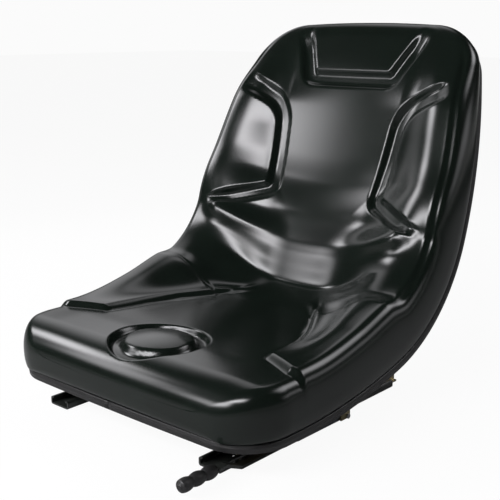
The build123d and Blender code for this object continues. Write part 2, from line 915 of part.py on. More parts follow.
def lever_grip():
    """Moulded finger grip: a turned body with one swell for each finger."""
    wave = (grip_rear_y - grip_front_y) / grip_waves
    points = [(0.0, grip_rear_y), (grip_neck_radius, grip_rear_y)]
    for k in range(grip_waves):
        start = grip_rear_y - wave * k
        points.append((grip_radius, start - wave * (1 - grip_crest_share) / 2))
        points.append((grip_radius, start - wave * (1 + grip_crest_share) / 2))
        points.append((grip_neck_radius, start - wave))
    points.append((0.0, grip_front_y))
    body = revolve(make_face(Polyline(*points, close=True)), Axis.Y)
    length = grip_rear_y - tongue_front_y + face_gap
    tongue = Pos(0, grip_rear_y - length / 2, 0) * Box(
        tongue_width + 2 * face_gap, length, lever_thickness + 2 * face_gap
    )
    return at_rail(1, Pos(lever_offset, 0, grip_axis_height) * (body - tongue))


def latch_tooth():
    """Comb of teeth welded to the lever's inner edge."""
    wall = lower_rail_width / 2
    inner_edge = lever_offset - lever_width / 2
    back = wall + tooth_reach
    tip = wall - rail_sheet - tooth_reach
    middle = tooth_y - (tooth_count - 1) * tooth_pitch / 2
    length = (tooth_count - 1) * tooth_pitch + tooth_width + 2 * comb_margin
    z = lever_bottom + lever_thickness / 2
    comb = Pos((back + inner_edge) / 2, middle, z) * Box(inner_edge - back, length, lever_thickness)
    for k in range(tooth_count):
        y = tooth_y - k * tooth_pitch
        comb += Pos((tip + back) / 2, y, z) * Box(back - tip, tooth_width, lever_thickness)
    return at_rail(1, comb)


def tab_middle():
    """Place across the rail of the bracket tab's middle line, outside the lever."""
    return lever_offset + lever_width / 2 + 2 * spring_thickness + soft_gap + bracket_sheet / 2


def lever_bracket():
    """Folded bracket on the upper rail: a flange, a shelf for the pivot and a tab for the spring."""
    shelf = lower_rail_height + bracket_gap + bracket_sheet / 2
    line = FilletPolyline(
        (upper_rail_width / 2 + bracket_sheet / 2, bracket_top),
        (upper_rail_width / 2 + bracket_sheet / 2, shelf),
        (tab_middle(), shelf),
        (tab_middle(), tab_bottom),
        radius=rail_bend,
    )
    length = bracket_rear_y - bracket_front_y
    bracket = Pos(0, bracket_front_y, 0) * extrude(Plane.XZ * trace(line, bracket_sheet), -length)
    cut = tab_front_y - bracket_front_y
    bracket -= Pos(tab_middle(), bracket_front_y + cut / 2, tab_bottom) * Box(
        4 * bracket_sheet, cut, 2 * (shelf - bracket_sheet / 2 - rail_bend - tab_bottom)
    )
    bracket -= upright(pivot_radius + press_gap, tab_bottom, bracket_top, lever_offset, pivot_y)
    for y in rivet_places():
        bracket -= crosswise(rivet_radius + press_gap, 0, upper_rail_width, y, rivet_height)
    bracket -= crosswise(
        spring_screw_radius + press_gap, lever_offset, 2 * lever_offset, spring_screw_y, spring_middle()
    )
    return at_rail(1, bracket)


def spring_middle():
    """Height of the blade spring's middle line."""
    return spring_bottom + spring_width / 2


def bracket_rivets():
    """Rivets through the bracket's flange and the rail's leg."""
    inner = upper_rail_width / 2 - rail_sheet
    outer = upper_rail_width / 2 + bracket_sheet
    rivets = []
    for y in rivet_places():
        rivet = crosswise(rivet_radius, inner - rivet_head_height, outer + rivet_head_height, y, rivet_height)
        rivet += crosswise(rivet_head_radius, inner - rivet_head_height, inner, y, rivet_height)
        rivet += crosswise(rivet_head_radius, outer, outer + rivet_head_height, y, rivet_height)
        rivets.append(at_rail(1, rivet))
    return Compound(children=[Part(rivet.wrapped) for rivet in rivets])


def lever_pivot():
    """Shoulder pin riveted in the bracket's shelf, with a groove for its clip."""
    shelf_bottom = lower_rail_height + bracket_gap
    shelf_top = shelf_bottom + bracket_sheet
    pin = upright(pivot_radius, pivot_bottom, shelf_top, lever_offset, pivot_y)
    lever_top = lever_bottom + lever_thickness + face_gap
    pin += upright(pivot_shoulder_radius, lever_top, shelf_bottom, lever_offset, pivot_y)
    pin += upright(pivot_shoulder_radius, shelf_top, shelf_top + pivot_head_height, lever_offset, pivot_y)
    clip_top = lever_bottom - face_gap
    clip_bottom = clip_top - clip_thickness
    neck = upright(pivot_radius, clip_bottom - face_gap, clip_top, lever_offset, pivot_y)
    neck -= upright(clip_groove_radius, clip_bottom - face_gap, clip_top, lever_offset, pivot_y)
    return at_rail(1, pin - neck)


def pivot_clip():
    """Open retaining clip in the pin's groove."""
    top = lever_bottom - face_gap
    ring = Circle(clip_radius) - Circle(clip_groove_radius + press_gap)
    ring -= Pos(clip_radius, 0) * Rectangle(2 * clip_radius, clip_opening)
    clip = Pos(lever_offset, pivot_y, top - clip_thickness) * extrude(ring, clip_thickness)
    return at_rail(1, clip)


def return_spring():
    """Blade spring on the bracket's tab that bears on the lever's outer edge."""
    seat = tab_middle() - bracket_sheet / 2 - spring_thickness / 2
    tip = lever_offset + lever_width / 2 + soft_gap + spring_thickness / 2
    line = Polyline((seat, bracket_rear_y), (seat, tab_front_y), (tip, spring_front_y))
    blade = Pos(0, 0, spring_bottom) * extrude(trace(line, spring_thickness), spring_width)
    hole = crosswise(
        spring_screw_radius + press_gap, lever_offset, 2 * lever_offset, spring_screw_y, spring_middle()
    )
    return at_rail(1, blade - hole)


def spring_screw():
    """Screw that holds the blade spring to the tab."""
    outer = tab_middle() + bracket_sheet / 2
    inner = tab_middle() - bracket_sheet / 2 - 2 * spring_thickness
    z = spring_middle()
    screw = crosswise(spring_screw_radius, inner, outer, spring_screw_y, z)
    screw += crosswise(
        spring_screw_head_radius, outer, outer + spring_screw_head_height, spring_screw_y, z
    )
    return at_rail(1, screw)


def main():
    """Build every node and write it."""
    nodes = {
        "seat_cushion": seat_cushion(),
        "seat_pan": seat_pan(),
        "edge_trim": edge_trim(),
        "lower_rail_left": lower_rail(1),
        "lower_rail_right": lower_rail(-1),
        "upper_rail_left": upper_rail(1),
        "upper_rail_right": upper_rail(-1),
        "glide_shoes": glide_shoes(),
        "pan_studs": pan_studs(),
        "rail_washers": rail_washers(),
        "rail_nuts": rail_nuts(),
        "travel_stops": travel_stops(),
        "stop_pins": stop_pins(),
        "release_lever": release_lever(),
        "lever_grip": lever_grip(),
        "latch_tooth": latch_tooth(),
        "lever_bracket": lever_bracket(),
        "bracket_rivets": bracket_rivets(),
        "lever_pivot": lever_pivot(),
        "pivot_clip": pivot_clip(),
        "return_spring": return_spring(),
        "spring_screw": spring_screw(),
    }
    os.makedirs("parts", exist_ok=True)
    for name, shape in nodes.items():
        export_step(shape, f"parts/{name}.step")


main()
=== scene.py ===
from math import cos, pi, radians, sin

import bmesh
import bpy
import numpy as np
from bpy.props import FloatProperty, FloatVectorProperty, IntProperty, PointerProperty
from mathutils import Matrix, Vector


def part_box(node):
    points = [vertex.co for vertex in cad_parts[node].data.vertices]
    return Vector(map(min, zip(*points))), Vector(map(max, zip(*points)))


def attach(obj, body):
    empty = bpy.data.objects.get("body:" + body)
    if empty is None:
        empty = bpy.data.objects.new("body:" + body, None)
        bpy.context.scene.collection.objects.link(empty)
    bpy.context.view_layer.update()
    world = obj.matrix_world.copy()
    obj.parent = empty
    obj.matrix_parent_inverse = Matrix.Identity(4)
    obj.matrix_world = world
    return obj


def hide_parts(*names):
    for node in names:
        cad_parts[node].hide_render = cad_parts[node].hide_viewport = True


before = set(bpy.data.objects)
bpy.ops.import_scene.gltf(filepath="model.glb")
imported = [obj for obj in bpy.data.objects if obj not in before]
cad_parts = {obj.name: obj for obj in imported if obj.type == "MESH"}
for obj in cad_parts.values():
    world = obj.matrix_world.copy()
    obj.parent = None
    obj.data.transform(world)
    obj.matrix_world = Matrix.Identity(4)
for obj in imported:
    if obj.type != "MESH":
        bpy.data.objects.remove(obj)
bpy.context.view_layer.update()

bl_info = {
    "name": "Pan seat",
    "version": (1, 0, 0),
    "blender": (4, 5, 0),
    "location": "View3D > Sidebar > Pan seat",
    "description": "Dresses the pan seat: its moulded vinyl cushion, edge trim, rails and lever",
    "category": "Object",
}


def length(label, default, about):
    """Length property in metres."""
    return FloatProperty(name=label, description=about, default=default, unit="LENGTH", precision=4)


def angle(label, degrees, about):
    """Angle property."""
    return FloatProperty(name=label, description=about, default=radians(degrees), subtype="ANGLE")


def colour(label, default, about):
    """Colour property."""
    return FloatVectorProperty(
        name=label, description=about, default=default, size=3, subtype="COLOR", min=0.0, max=1.0
    )


class SeatOutline(bpy.types.PropertyGroup):
    """Outline of the seat over the cushion's bulge, and the side view of its rim."""

    width: length("Width", 0.474, "Width over the cushion")
    top_width: length("Top width", 0.374, "Width at the top of the back")
    front_corner: length("Front corners", 0.074, "Radius of the front corners")
    top_corner: length("Top corners", 0.066, "Radius of the top corners")
    front_bow: length("Front bow", 0.004, "Bow of the front edge")
    top_crown: length("Top crown", 0.009, "Crown of the top edge")
    front_y: length("Front", -0.215, "Place of the front edge")
    rim_height: length("Rim height", 0.040, "Height of the trim's underside at the front")
    front_run: length("Front run", 0.096, "Level run of the rim at the front")
    thigh_radius: length("Thigh bend", 0.850, "Radius of the slow rise along the thigh")
    thigh_angle: angle("Thigh rise", 15, "Angle of the thigh bend")
    hip_radius: length("Hip bend", 0.235, "Radius of the hip bend")
    back_lean: angle("Back lean", 19, "Lean of the back")
    back_run: length("Back run", 0.318, "Straight length of the back")
    rim_inset: length("Rim inset", 0.009, "How far the pan's rim lies inside the bulge")


class SeatPadding(bpy.types.PropertyGroup):
    """Heights of the cushion above the trim's underside."""

    base: length("Base", 0.0123, "Underside of the cushion")
    front: length("Front", 0.079, "Height at the front")
    thigh_ridge: length("Thigh ridge", 0.086, "Crest of the outer roll beside the thigh")
    hip_ridge: length("Hip ridge", 0.092, "Crest of the outer roll at the hip")
    back_ridge: length("Back ridge", 0.091, "Crest of the outer roll at the foot of the back")
    bolster_ridge: length("Bolster ridge", 0.075, "Crest of the outer roll beside the back")
    shoulder_ridge: length("Shoulder ridge", 0.066, "Crest of the outer roll at the shoulder")
    top_edge: length("Top edge", 0.034, "Height at the top edge")
    seat_middle: length("Seat", 0.080, "Height of the seat at its button")
    seat_low: length("Seat hollow", 0.062, "Height of the seat's hollow")
    crease: length("Crease", 0.033, "Height of the crease between seat and back")
    crease_fillet: length("Crease fillet", 0.003, "Softness of that crease")
    lumbar: length("Lumbar", 0.059, "Height of the lumbar swell")
    loin: length("Loin", 0.0540, "Height of the back just above the lumbar swell")
    loin_station: length("Loin place", 0.546, "Station of the loin")
    back_foot: length("Back foot", 0.0450, "Height of the back's middle above the lumbar swell")
    back_foot_station: length("Back foot place", 0.600, "Station at which the straight back starts")
    back_middle: length("Back", 0.0432, "Height of the back's middle")
    back_top: length("Back top", 0.0465, "Height of the back at its head pad")
    roll_width: length("Roll width", 0.026, "Width of the outer roll")
    front_roll: length("Front roll", 0.048, "Depth of the front roll")
    top_roll: length("Top roll", 0.030, "Depth of the top roll")
    crease_station: length("Crease place", 0.406, "Place of the crease along the rim")
    lumbar_station: length("Lumbar place", 0.488, "Place of the lumbar swell along the rim")
    bolster_step: length("Bolster step", 0.008, "Height of the thigh bolsters' nose")
    nose_station: length("Nose place", 0.125, "Place of the thigh bolsters' nose")
    nose_half_width: length("Nose half width", 0.150, "Half width at the thigh bolsters' nose")
    nose_length: length("Nose length", 0.014, "Run of the thigh bolsters' nose")
    back_dish: length("Back dish", 0.0070, "Hollow of the back's middle panel across its width")
    hip_roll: length("Hip roll", 0.0110, "Height of the roll from the lumbar swell up to the hips")
    hip_reach: length("Hip roll reach", 0.032, "Half breadth of that roll")
    hip_climb: length("Hip roll climb", 0.035, "How far that roll climbs the back towards the sides")
    hip_half_width: length("Hip half width", 0.182, "Half width at which that roll ends")


class SeatGrooves(bpy.types.PropertyGroup):
    """Grooves and creases moulded in the skin."""

    half_width: length("Half width", 0.0120, "Half width of the grooves")
    depth: length("Depth", 0.0090, "Depth of the grooves")
    leg_drop: length("Leg drop", 0.003, "Extra depth at the end of the bracket grooves' legs")
    leg_run: length("Leg run", 0.120, "Run over which the legs deepen")
    button_station: length("Button place", 0.088, "Place of the button along the rim")
    button_radius: length("Moat radius", 0.0580, "Radius of the moat round the button")
    button_half_width: length("Moat half width", 0.0100, "Half width of the moat round the button")
    button_depth: length("Moat depth", 0.0100, "Depth of the moat round the button")
    button_dome: length("Button dome", 0.0050, "Crown of the button")
    crease_half_width: length("Crease width", 0.0060, "Half width of the creases")
    crease_depth: length("Crease depth", 0.0011, "Depth of the creases")
    edge_depth: length("Edge depth", 0.0030, "Depth of the line inside the outer roll")
    edge_offset: length("Edge crease", 0.0140, "Distance of the edge crease from the bulge")


class SeatFinish(bpy.types.PropertyGroup):
    """Colours of the finishes."""

    vinyl: colour("Vinyl", (0.0048, 0.0077, 0.0058), "Moulded vinyl skin")
    trim: colour("Trim", (0.012, 0.012, 0.012), "Edge trim")
    paint: colour("Paint", (0.016, 0.018, 0.016), "Paint of the pan, lower rails and lever")
    zinc_yellow: colour("Yellow zinc", (0.46, 0.40, 0.25), "Passivated plate of the upper rails")
    zinc_clear: colour("Clear zinc", (0.60, 0.61, 0.62), "Plate of the fasteners")
    nylon: colour("Nylon", (0.62, 0.60, 0.54), "Glide shoes")
    spring: colour("Spring steel", (0.22, 0.23, 0.26), "Blade spring and clip")
    grip: colour("Grip", (0.014, 0.014, 0.014), "Moulded grip")
    floor: colour("Floor", (0.92, 0.92, 0.92), "Studio floor")


class SeatGrip(bpy.types.PropertyGroup):
    """Finger grip on the lever."""

    rear_y: length("Rear end", -0.207, "Place of the grip's rear end")
    front_y: length("Front end", -0.266, "Place of the grip's front end")
    radius: length("Radius", 0.0087, "Radius over the swells")
    neck: length("Neck", 0.0064, "Radius between the swells")
    waves: IntProperty(name="Swells", description="Number of finger swells", default=3, min=1)


class SeatNuts(bpy.types.PropertyGroup):
    """Nuts and studs under the pan."""

    flats: length("Across flats", 0.013, "Size of the nuts across flats")
    stud: length("Stud radius", 0.004, "Radius of the studs")
    thread: length("Thread pitch", 0.00125, "Pitch of the thread")


GROUPS = {
    "seat_outline": SeatOutline,
    "seat_padding": SeatPadding,
    "seat_grooves": SeatGrooves,
    "seat_finish": SeatFinish,
    "seat_grip": SeatGrip,
    "seat_nuts": SeatNuts,
}


def settings(name):
    """One of the seat's property groups in this scene."""
    return getattr(bpy.context.scene, name)


# Curves that shape the cushion


def smooth_step(start, end, value):
    """Rise from 0 to 1 between start and end, level at both."""
    share = np.clip((value - start) / (end - start), 0.0, 1.0)
    return share * share * (3 - 2 * share)


def gentle_step(start, end, value):
    """Rise from 0 to 1 between start and end, level and without curvature at both."""
    share = np.clip((value - start) / (end - start), 0.0, 1.0)
    return share**3 * (10 - 15 * share + 6 * share * share)


def smooth_through(knots, stations):
    """Smooth curve through (station, value) knots that never overshoots them."""
    at = np.array([knot[0] for knot in knots])
    value = np.array([knot[1] for knot in knots])
    slopes = np.diff(value) / np.diff(at)
    tangents = np.zeros(len(knots))
    for k in range(1, len(knots) - 1):
        if slopes[k - 1] * slopes[k] > 0:
            tangents[k] = 2 * slopes[k - 1] * slopes[k] / (slopes[k - 1] + slopes[k])
    inside = np.clip(stations, at[0], at[-1])
    k = np.clip(np.searchsorted(at, inside, side="right") - 1, 0, len(knots) - 2)
    span = at[k + 1] - at[k]
    u = (inside - at[k]) / span
    rise = value[k] * (1 + 2 * u) * (1 - u) ** 2 + value[k + 1] * u * u * (3 - 2 * u)
    return rise + span * (tangents[k] * u * (1 - u) ** 2 - tangents[k + 1] * u * u * (1 - u))


def crease(distance, half_width, depth, floor=0.15, shoulder=1.0):
    """Section of a crease: a narrow floor and soft shoulders, both given in half widths."""
    return -depth * (1 - smooth_step(floor, shoulder, distance / half_width))


def channel(distance, half_width, depth):
    """Section of a moulded groove: a wide flat floor between rounded walls."""
    return crease(distance, half_width, depth, floor=0.45, shoulder=1.25)


def rounded_route(corners, radii, steps=7):
    """Flat route of (station, x) points with an arc at each inner corner."""
    route = [np.array(corners[0])]
    for before, corner, after, radius in zip(corners, corners[1:], corners[2:], radii):
        corner = np.array(corner)
        back = np.array(before) - corner
        ahead = np.array(after) - corner
        back = back / np.linalg.norm(back)
        ahead = ahead / np.linalg.norm(ahead)
        half_angle = np.arccos(np.clip(back @ ahead, -1, 1)) / 2
        middle = (back + ahead) / np.linalg.norm(back + ahead)
        centre = corner + middle * radius / np.sin(half_angle)
        first = corner + back * radius / np.tan(half_angle) - centre
        last = corner + ahead * radius / np.tan(half_angle) - centre
        for k in range(steps + 1):
            turn = first * (1 - k / steps) + last * k / steps
            route.append(centre + turn / np.linalg.norm(turn) * radius)
    route.append(np.array(corners[-1]))
    return route


def route_distance(route, station, x):
    """Distance of surface points from a route, how far along it they lie, and its whole run."""
    grid = np.broadcast_shapes(station.shape, x.shape)
    nearest = np.full(grid, np.inf)
    along = np.zeros(grid)
    run = 0.0
    for start, end in zip(route, route[1:]):
        step = end - start
        size = np.linalg.norm(step)
        share = np.clip(((station - start[0]) * step[0] + (x - start[1]) * step[1]) / size**2, 0, 1)
        away_s = station - start[0] - share * step[0]
        away_x = x - start[1] - share * step[1]
        distance = np.hypot(away_s, away_x)
        closer = distance < nearest
        nearest = np.where(closer, distance, nearest)
        along = np.where(closer, run + share * size, along)
        run += size
    return nearest, along, run


class SeatForm:
    """Shape of the seat in metres.

    Stations run along the rim from the front edge to the top. Places on the skin are (station, x) pairs.
    """

    # Shares that shape the wall, the outer roll and the bolsters
    widest_share = 0.35
    roll_fullness = 0.8
    nose_slant = 0.5
    foot_share = 0.75
    panel_share = 0.30

    # Where the heights along the middle line and the crest have their knots
    thigh_crest_share = 0.75
    bolster_share = 0.3
    shoulder_share = 0.6
    nose_fall = 0.002
    hollow_share = 0.78
    lumbar_low = (0.35, 0.50)
    lumbar_high = (0.72, 0.88)
    back_settle = 0.040

    # Half widths at the foot of the side bolsters, and where the back's flat panel starts
    lumbar_foot = 0.030
    loin_foot = 0.060
    back_flat = 0.106
    panel_start_share = 0.2
    least_crest = 0.001

    # Runs over which the bolsters, the hip roll and the back's dish come and go
    panel_rise = (0.53, 0.60)
    panel_fall = (0.68, 0.75)
    lift_gap = 0.03
    hip_fade = (0.015, 0.030)
    dish_margin = 0.030

    # Creases of the seat
    thigh_knee = (0.207, 0.140)
    thigh_waist = (0.260, 0.124)
    hip_corner = (0.313, 0.092)
    hip_places = ((0.326, 0.139), (0.335, 0.169), (0.345, 0.205))
    seat_places = ((0.361, 0.072), (0.388, 0.056))
    crease_fade = 0.03
    edge_start = (0.33, 0.42)
    edge_stop = (0.07, 0.03)

    # Grooves of the back
    bracket_upper = 0.720
    bracket_places = ((0.756, 0.196), (bracket_upper, 0.112), (0.578, 0.099), (0.533, 0.205))
    bracket_bends = (0.055, 0.014)
    bracket_fade = (0.03, 0.045)
    bracket_flare = 0.25
    flare_run = 0.14
    pad_station = 0.767
    pad_places = ((pad_station, 0.0), (pad_station, 0.078), (0.858, 0.120))
    pad_bends = (0.016,)
    pad_fade = 0.055

    # Rings of the cushion's mesh
    first_station = 0.00002
    front_reach = 0.068
    top_reach = 0.045
    button_end = 0.175
    front_rings = 36
    button_rings = 72
    thigh_rings = 70
    body_rings = 188
    top_rings = 26

    # Steps of the rim's outline
    edge_steps = 30
    corner_steps = 24
    side_steps = 150

    def __init__(self):
        self.o = settings("seat_outline")
        self.p = settings("seat_padding")
        self.g = settings("seat_grooves")
        self.half = self.o.width / 2
        self.thigh_end = self.o.front_run + self.o.thigh_radius * self.o.thigh_angle
        self.hip_turn = pi / 2 - self.o.back_lean - self.o.thigh_angle
        self.hip_end = self.thigh_end + self.o.hip_radius * self.hip_turn
        self.end = self.hip_end + self.o.back_run
        taper = self.half - self.o.top_width / 2
        self.side_arc = (self.o.back_run**2 + taper**2) / (2 * taper)

    def rim(self, station):
        """Slope, y and z of the rim line."""
        bend = np.clip(station - self.o.front_run, 0, self.thigh_end - self.o.front_run)
        first = bend / self.o.thigh_radius
        level = np.minimum(station, self.o.front_run)
        y = self.o.front_y + level + self.o.thigh_radius * np.sin(first)
        z = self.o.rim_height + self.o.thigh_radius * (1 - np.cos(first))
        hip = np.clip(station - self.thigh_end, 0, self.hip_end - self.thigh_end)
        slope = first + hip / self.o.hip_radius
        y = y + self.o.hip_radius * (np.sin(slope) - np.sin(first))
        z = z + self.o.hip_radius * (np.cos(first) - np.cos(slope))
        rest = np.maximum(station - self.hip_end, 0)
        return slope, y + rest * np.cos(slope), z + rest * np.sin(slope)

    def place(self, x, station, height):
        """Points in space of places given across, along and above the rim."""
        slope, y, z = self.rim(station)
        return np.stack([x, y - height * np.sin(slope), z + height * np.cos(slope)], axis=-1)

    def side(self, station):
        """Half width without the round corners."""
        rise = np.maximum(station - self.hip_end, 0)
        return self.half - self.side_arc + np.sqrt(self.side_arc**2 - rise**2)

    def end_half_width(self, distance, side, half_edge, radius, bow):
        """Half width near an end with a bowed edge and round corners."""
        drop = bow * ((half_edge - radius) / half_edge) ** 2
        left = np.clip(radius - (distance - drop), 0, radius)
        corner = side - radius + np.sqrt(radius**2 - left**2)
        edge = half_edge * np.sqrt(np.maximum(distance, 0) / bow)
        return np.where(distance < drop, edge, corner)

    def half_width(self, station):
        """Half width over the bulge."""
        side = self.side(station)
        front = self.end_half_width(station, side, self.half, self.o.front_corner, self.o.front_bow)
        top = self.end_half_width(
            self.end - station, side, self.o.top_width / 2, self.o.top_corner, self.o.top_crown
        )
        return np.minimum(front, top)

    def ridge(self, station):
        """Height of the outer roll's crest."""
        p = self.p
        return smooth_through(
            [
                (0.0, p.front),
                (p.nose_station, p.front),
                (self.thigh_end * self.thigh_crest_share, p.thigh_ridge),
                (self.thigh_end, p.hip_ridge),
                ((self.thigh_end + self.hip_end) / 2, p.hip_ridge),
                (self.hip_end, p.back_ridge),
                (self.hip_end + self.o.back_run * self.bolster_share, p.bolster_ridge),
                (self.hip_end + self.o.back_run * self.shoulder_share, p.shoulder_ridge),
                (self.end, p.top_edge),
            ],
            station,
        )

    def seat_line(self, station):
        """Height of the seat's middle line, carried on under the back."""
        p = self.p
        return smooth_through(
            [
                (0.0, p.front),
                (self.g.button_station, p.seat_middle),
                (p.nose_station, p.seat_middle - self.nose_fall),
                (self.thigh_end * self.hollow_share, p.seat_low),
                (p.crease_station, p.crease),
                (p.lumbar_station, p.crease / 2),
            ],
            station,
        )

    def back_line(self, station):
        """Height of the back's middle line: a lumbar swell, then the back."""
        p = self.p
        span = p.lumbar_station - p.crease_station
        rise = p.lumbar - p.crease
        low_run, low_rise = self.lumbar_low
        high_run, high_rise = self.lumbar_high
        return smooth_through(
            [
                (p.crease_station - span, 0.0),
                (p.crease_station, p.crease),
                (p.crease_station + span * low_run, p.crease + rise * low_rise),
                (p.crease_station + span * high_run, p.crease + rise * high_rise),
                (p.lumbar_station, p.lumbar),
                (p.loin_station, p.loin),
                (p.back_foot_station, p.back_foot),
                (p.back_foot_station + self.back_settle, p.back_middle),
                (self.pad_station, p.back_top),
                (self.end, p.top_edge),
            ],
            station,
        )

    def middle(self, station):
        """Height of the sitting surface on the middle line, with a small fillet in the crease."""
        seat = self.seat_line(station)
        back = self.back_line(station)
        return (seat + back + np.sqrt((seat - back) ** 2 + self.p.crease_fillet**2)) / 2

    def bolster_foot(self, station):
        """Half width at which the side bolster starts to rise."""
        return smooth_through(
            [
                (self.p.nose_station, self.p.nose_half_width),
                self.thigh_knee,
                self.hip_corner,
                (self.p.crease_station, self.lumbar_foot),
                (self.p.lumbar_station, self.lumbar_foot),
                (self.hip_end, self.loin_foot),
                (self.hip_end + self.o.back_run * self.panel_start_share, self.back_flat),
                (self.end, self.back_flat),
            ],
            station,
        )

    def thigh_lift(self, station, x):
        """Height of the thigh bolster behind its slanted nose."""
        nose = self.p.nose_station - self.nose_slant * (x - self.p.nose_half_width)
        run = self.p.nose_length
        along = smooth_step(nose, nose + run, station)
        end = self.p.crease_station - self.lift_gap
        along = along * (1 - smooth_step(self.hip_corner[0], end, station))
        foot = self.bolster_foot(station)
        return self.p.bolster_step * along * smooth_step(foot - run / 2, foot + run, x)

    def hip_climb(self, x):
        """How far up the back the lumbar swell bends away from the middle line."""
        return self.p.hip_climb * (x / self.p.hip_half_width) ** 2

    def hip_roll(self, station, x):
        """Roll that carries the lumbar swell on to the hips."""
        away = (station - self.p.lumbar_station - self.hip_climb(x)) / self.p.hip_reach
        inner = self.p.hip_half_width - self.hip_fade[0]
        outer = self.p.hip_half_width + self.hip_fade[1]
        fade = 1 - smooth_step(inner, outer, x)
        return self.p.hip_roll * np.exp(-(away**2)) * fade

    def back_dish(self, station, x):
        """Hollow of the back's middle panel across its width."""
        flat = self.hip_end + self.o.back_run * self.panel_start_share
        start = smooth_step(self.hip_end - self.dish_margin, flat, station)
        end = smooth_step(self.bracket_upper, self.pad_station + self.dish_margin, station)
        return self.p.back_dish * start * (1 - end) * np.clip(x / self.back_flat, 0, 1) ** 2

    def beside_panel(self, station):
        """Share of the full round of the bolsters, which they have beside the back's middle panel."""
        return smooth_step(*self.panel_rise, station) * (1 - smooth_step(*self.panel_fall, station))

    def top(self, station, x):
        """Height of the top inside the outer roll, without grooves."""
        crest = np.maximum(self.half_width(station) - self.p.roll_width, self.least_crest)
        foot = np.minimum(self.bolster_foot(station), self.foot_share * crest)
        rise = gentle_step(foot, crest, x)
        full = 1 - (1 - np.clip((x - foot) / (crest - foot), 0, 1)) ** 2
        rise = rise + (full - rise) * self.panel_share * self.beside_panel(station)
        bent = smooth_step(self.thigh_end, self.p.crease_station, station)
        bent = bent * (1 - smooth_step(self.hip_end, self.bracket_upper, station))
        middle = self.middle(station - self.hip_climb(x) * bent)
        blend = middle + (self.ridge(station) - middle) * rise
        swell = self.hip_roll(station, x) * rise
        return blend + self.thigh_lift(station, x) + swell + self.back_dish(station, x)

    def end_roll(self, station, x):
        """Share of the full height near the front and top edges."""
        front_distance = station - self.o.front_bow * (x / self.half) ** 2
        top_distance = self.end - station - self.o.top_crown * (2 * x / self.o.top_width) ** 2
        front = np.clip(1 - front_distance / self.p.front_roll, 0, 1)
        top = np.clip(1 - top_distance / self.p.top_roll, 0, 1)
        return np.sqrt(1 - front**2) * np.sqrt(1 - top**2)

    def widest(self, station):
        """Height of the widest place of the wall."""
        return self.p.base + self.widest_share * (self.ridge(station) - self.p.base)

    def underside(self, station):
        """Height of the underside, which tucks in at both ends."""
        near = np.minimum(station, self.end - station)
        left = np.clip(1 - near / self.o.rim_inset, 0, 1)
        low = self.widest(station)
        return low - (low - self.p.base) * np.sqrt(1 - left**2)

    def bracket_relief(self, station, x):
        """Bracket groove of the back beside a bolster."""
        g = self.g
        route = rounded_route(self.bracket_places, self.bracket_bends)
        distance, along, run = route_distance(route, station, x)
        start_fade, end_fade = self.bracket_fade
        fade = smooth_step(0.0, start_fade, along) * (1 - smooth_step(run - end_fade, run, along))
        width = g.half_width * (1 + self.bracket_flare * (1 - smooth_step(0.0, self.flare_run, along)))
        depth = g.depth + g.leg_drop * smooth_step(run - g.leg_run, run, along)
        return channel(distance, width, depth) * fade

    def pad_relief(self, station, x):
        """Groove round the head pad."""
        route = rounded_route(self.pad_places, self.pad_bends)
        distance, along, run = route_distance(route, station, x)
        fade = 1 - smooth_step(run - self.pad_fade, run, along)
        return channel(distance, self.g.half_width, self.g.depth) * fade

    def button_relief(self, station, x):
        """Moat round the button, and the button's crown."""
        g = self.g
        distance = np.hypot(station - g.button_station, x)
        moat = channel(np.abs(distance - g.button_radius), g.button_half_width, g.button_depth)
        island = g.button_radius - g.button_half_width
        return moat + g.button_dome * np.clip(1 - (distance / island) ** 2, 0, 1)

    def crease_relief(self, station, x):
        """Creases along the thigh bolsters, between seat and back, and inside the outer roll."""
        g = self.g
        nose = (self.p.nose_station, self.p.nose_half_width)
        routes = (
            (nose, self.thigh_knee, self.thigh_waist, self.hip_corner),
            (self.hip_corner, *self.hip_places),
            (self.hip_corner, *self.seat_places),
        )
        total = np.zeros(station.shape) + np.zeros(x.shape)
        for route in routes:
            distance, along, run = route_distance([np.array(place) for place in route], station, x)
            fade = 1 - smooth_step(run - self.crease_fade, run, along)
            total = np.minimum(total, crease(distance, g.crease_half_width, g.crease_depth) * fade)
        inside = np.abs(x - self.half_width(station) + g.edge_offset)
        edge = crease(inside, g.crease_half_width, g.edge_depth) * smooth_step(*self.edge_start, station)
        stop, last = self.edge_stop
        return total + edge * (1 - smooth_step(self.end - stop, self.end - last, station))

    def relief(self, station, x):
        """All moulded relief of the skin."""
        grooves = self.bracket_relief(station, x) + self.pad_relief(station, x)
        return grooves + self.button_relief(station, x) + self.crease_relief(station, x)

    def stations(self):
        """Stations of the cushion's rings: close where the ends roll over and round the button."""
        front_turn = np.linspace(0, pi / 2, self.front_rings)
        top_turn = np.linspace(0, pi / 2, self.top_rings)
        front = self.first_station + self.front_reach * (1 - np.cos(front_turn))
        top = self.end - self.first_station - self.top_reach * (1 - np.cos(top_turn))
        button = np.linspace(front[-1], self.button_end, self.button_rings)[1:]
        thigh = np.linspace(button[-1], self.thigh_end, self.thigh_rings)[1:]
        body = np.linspace(thigh[-1], top[-1], self.body_rings)[1:-1]
        return np.concatenate([front, button, thigh, body, top[::-1]])

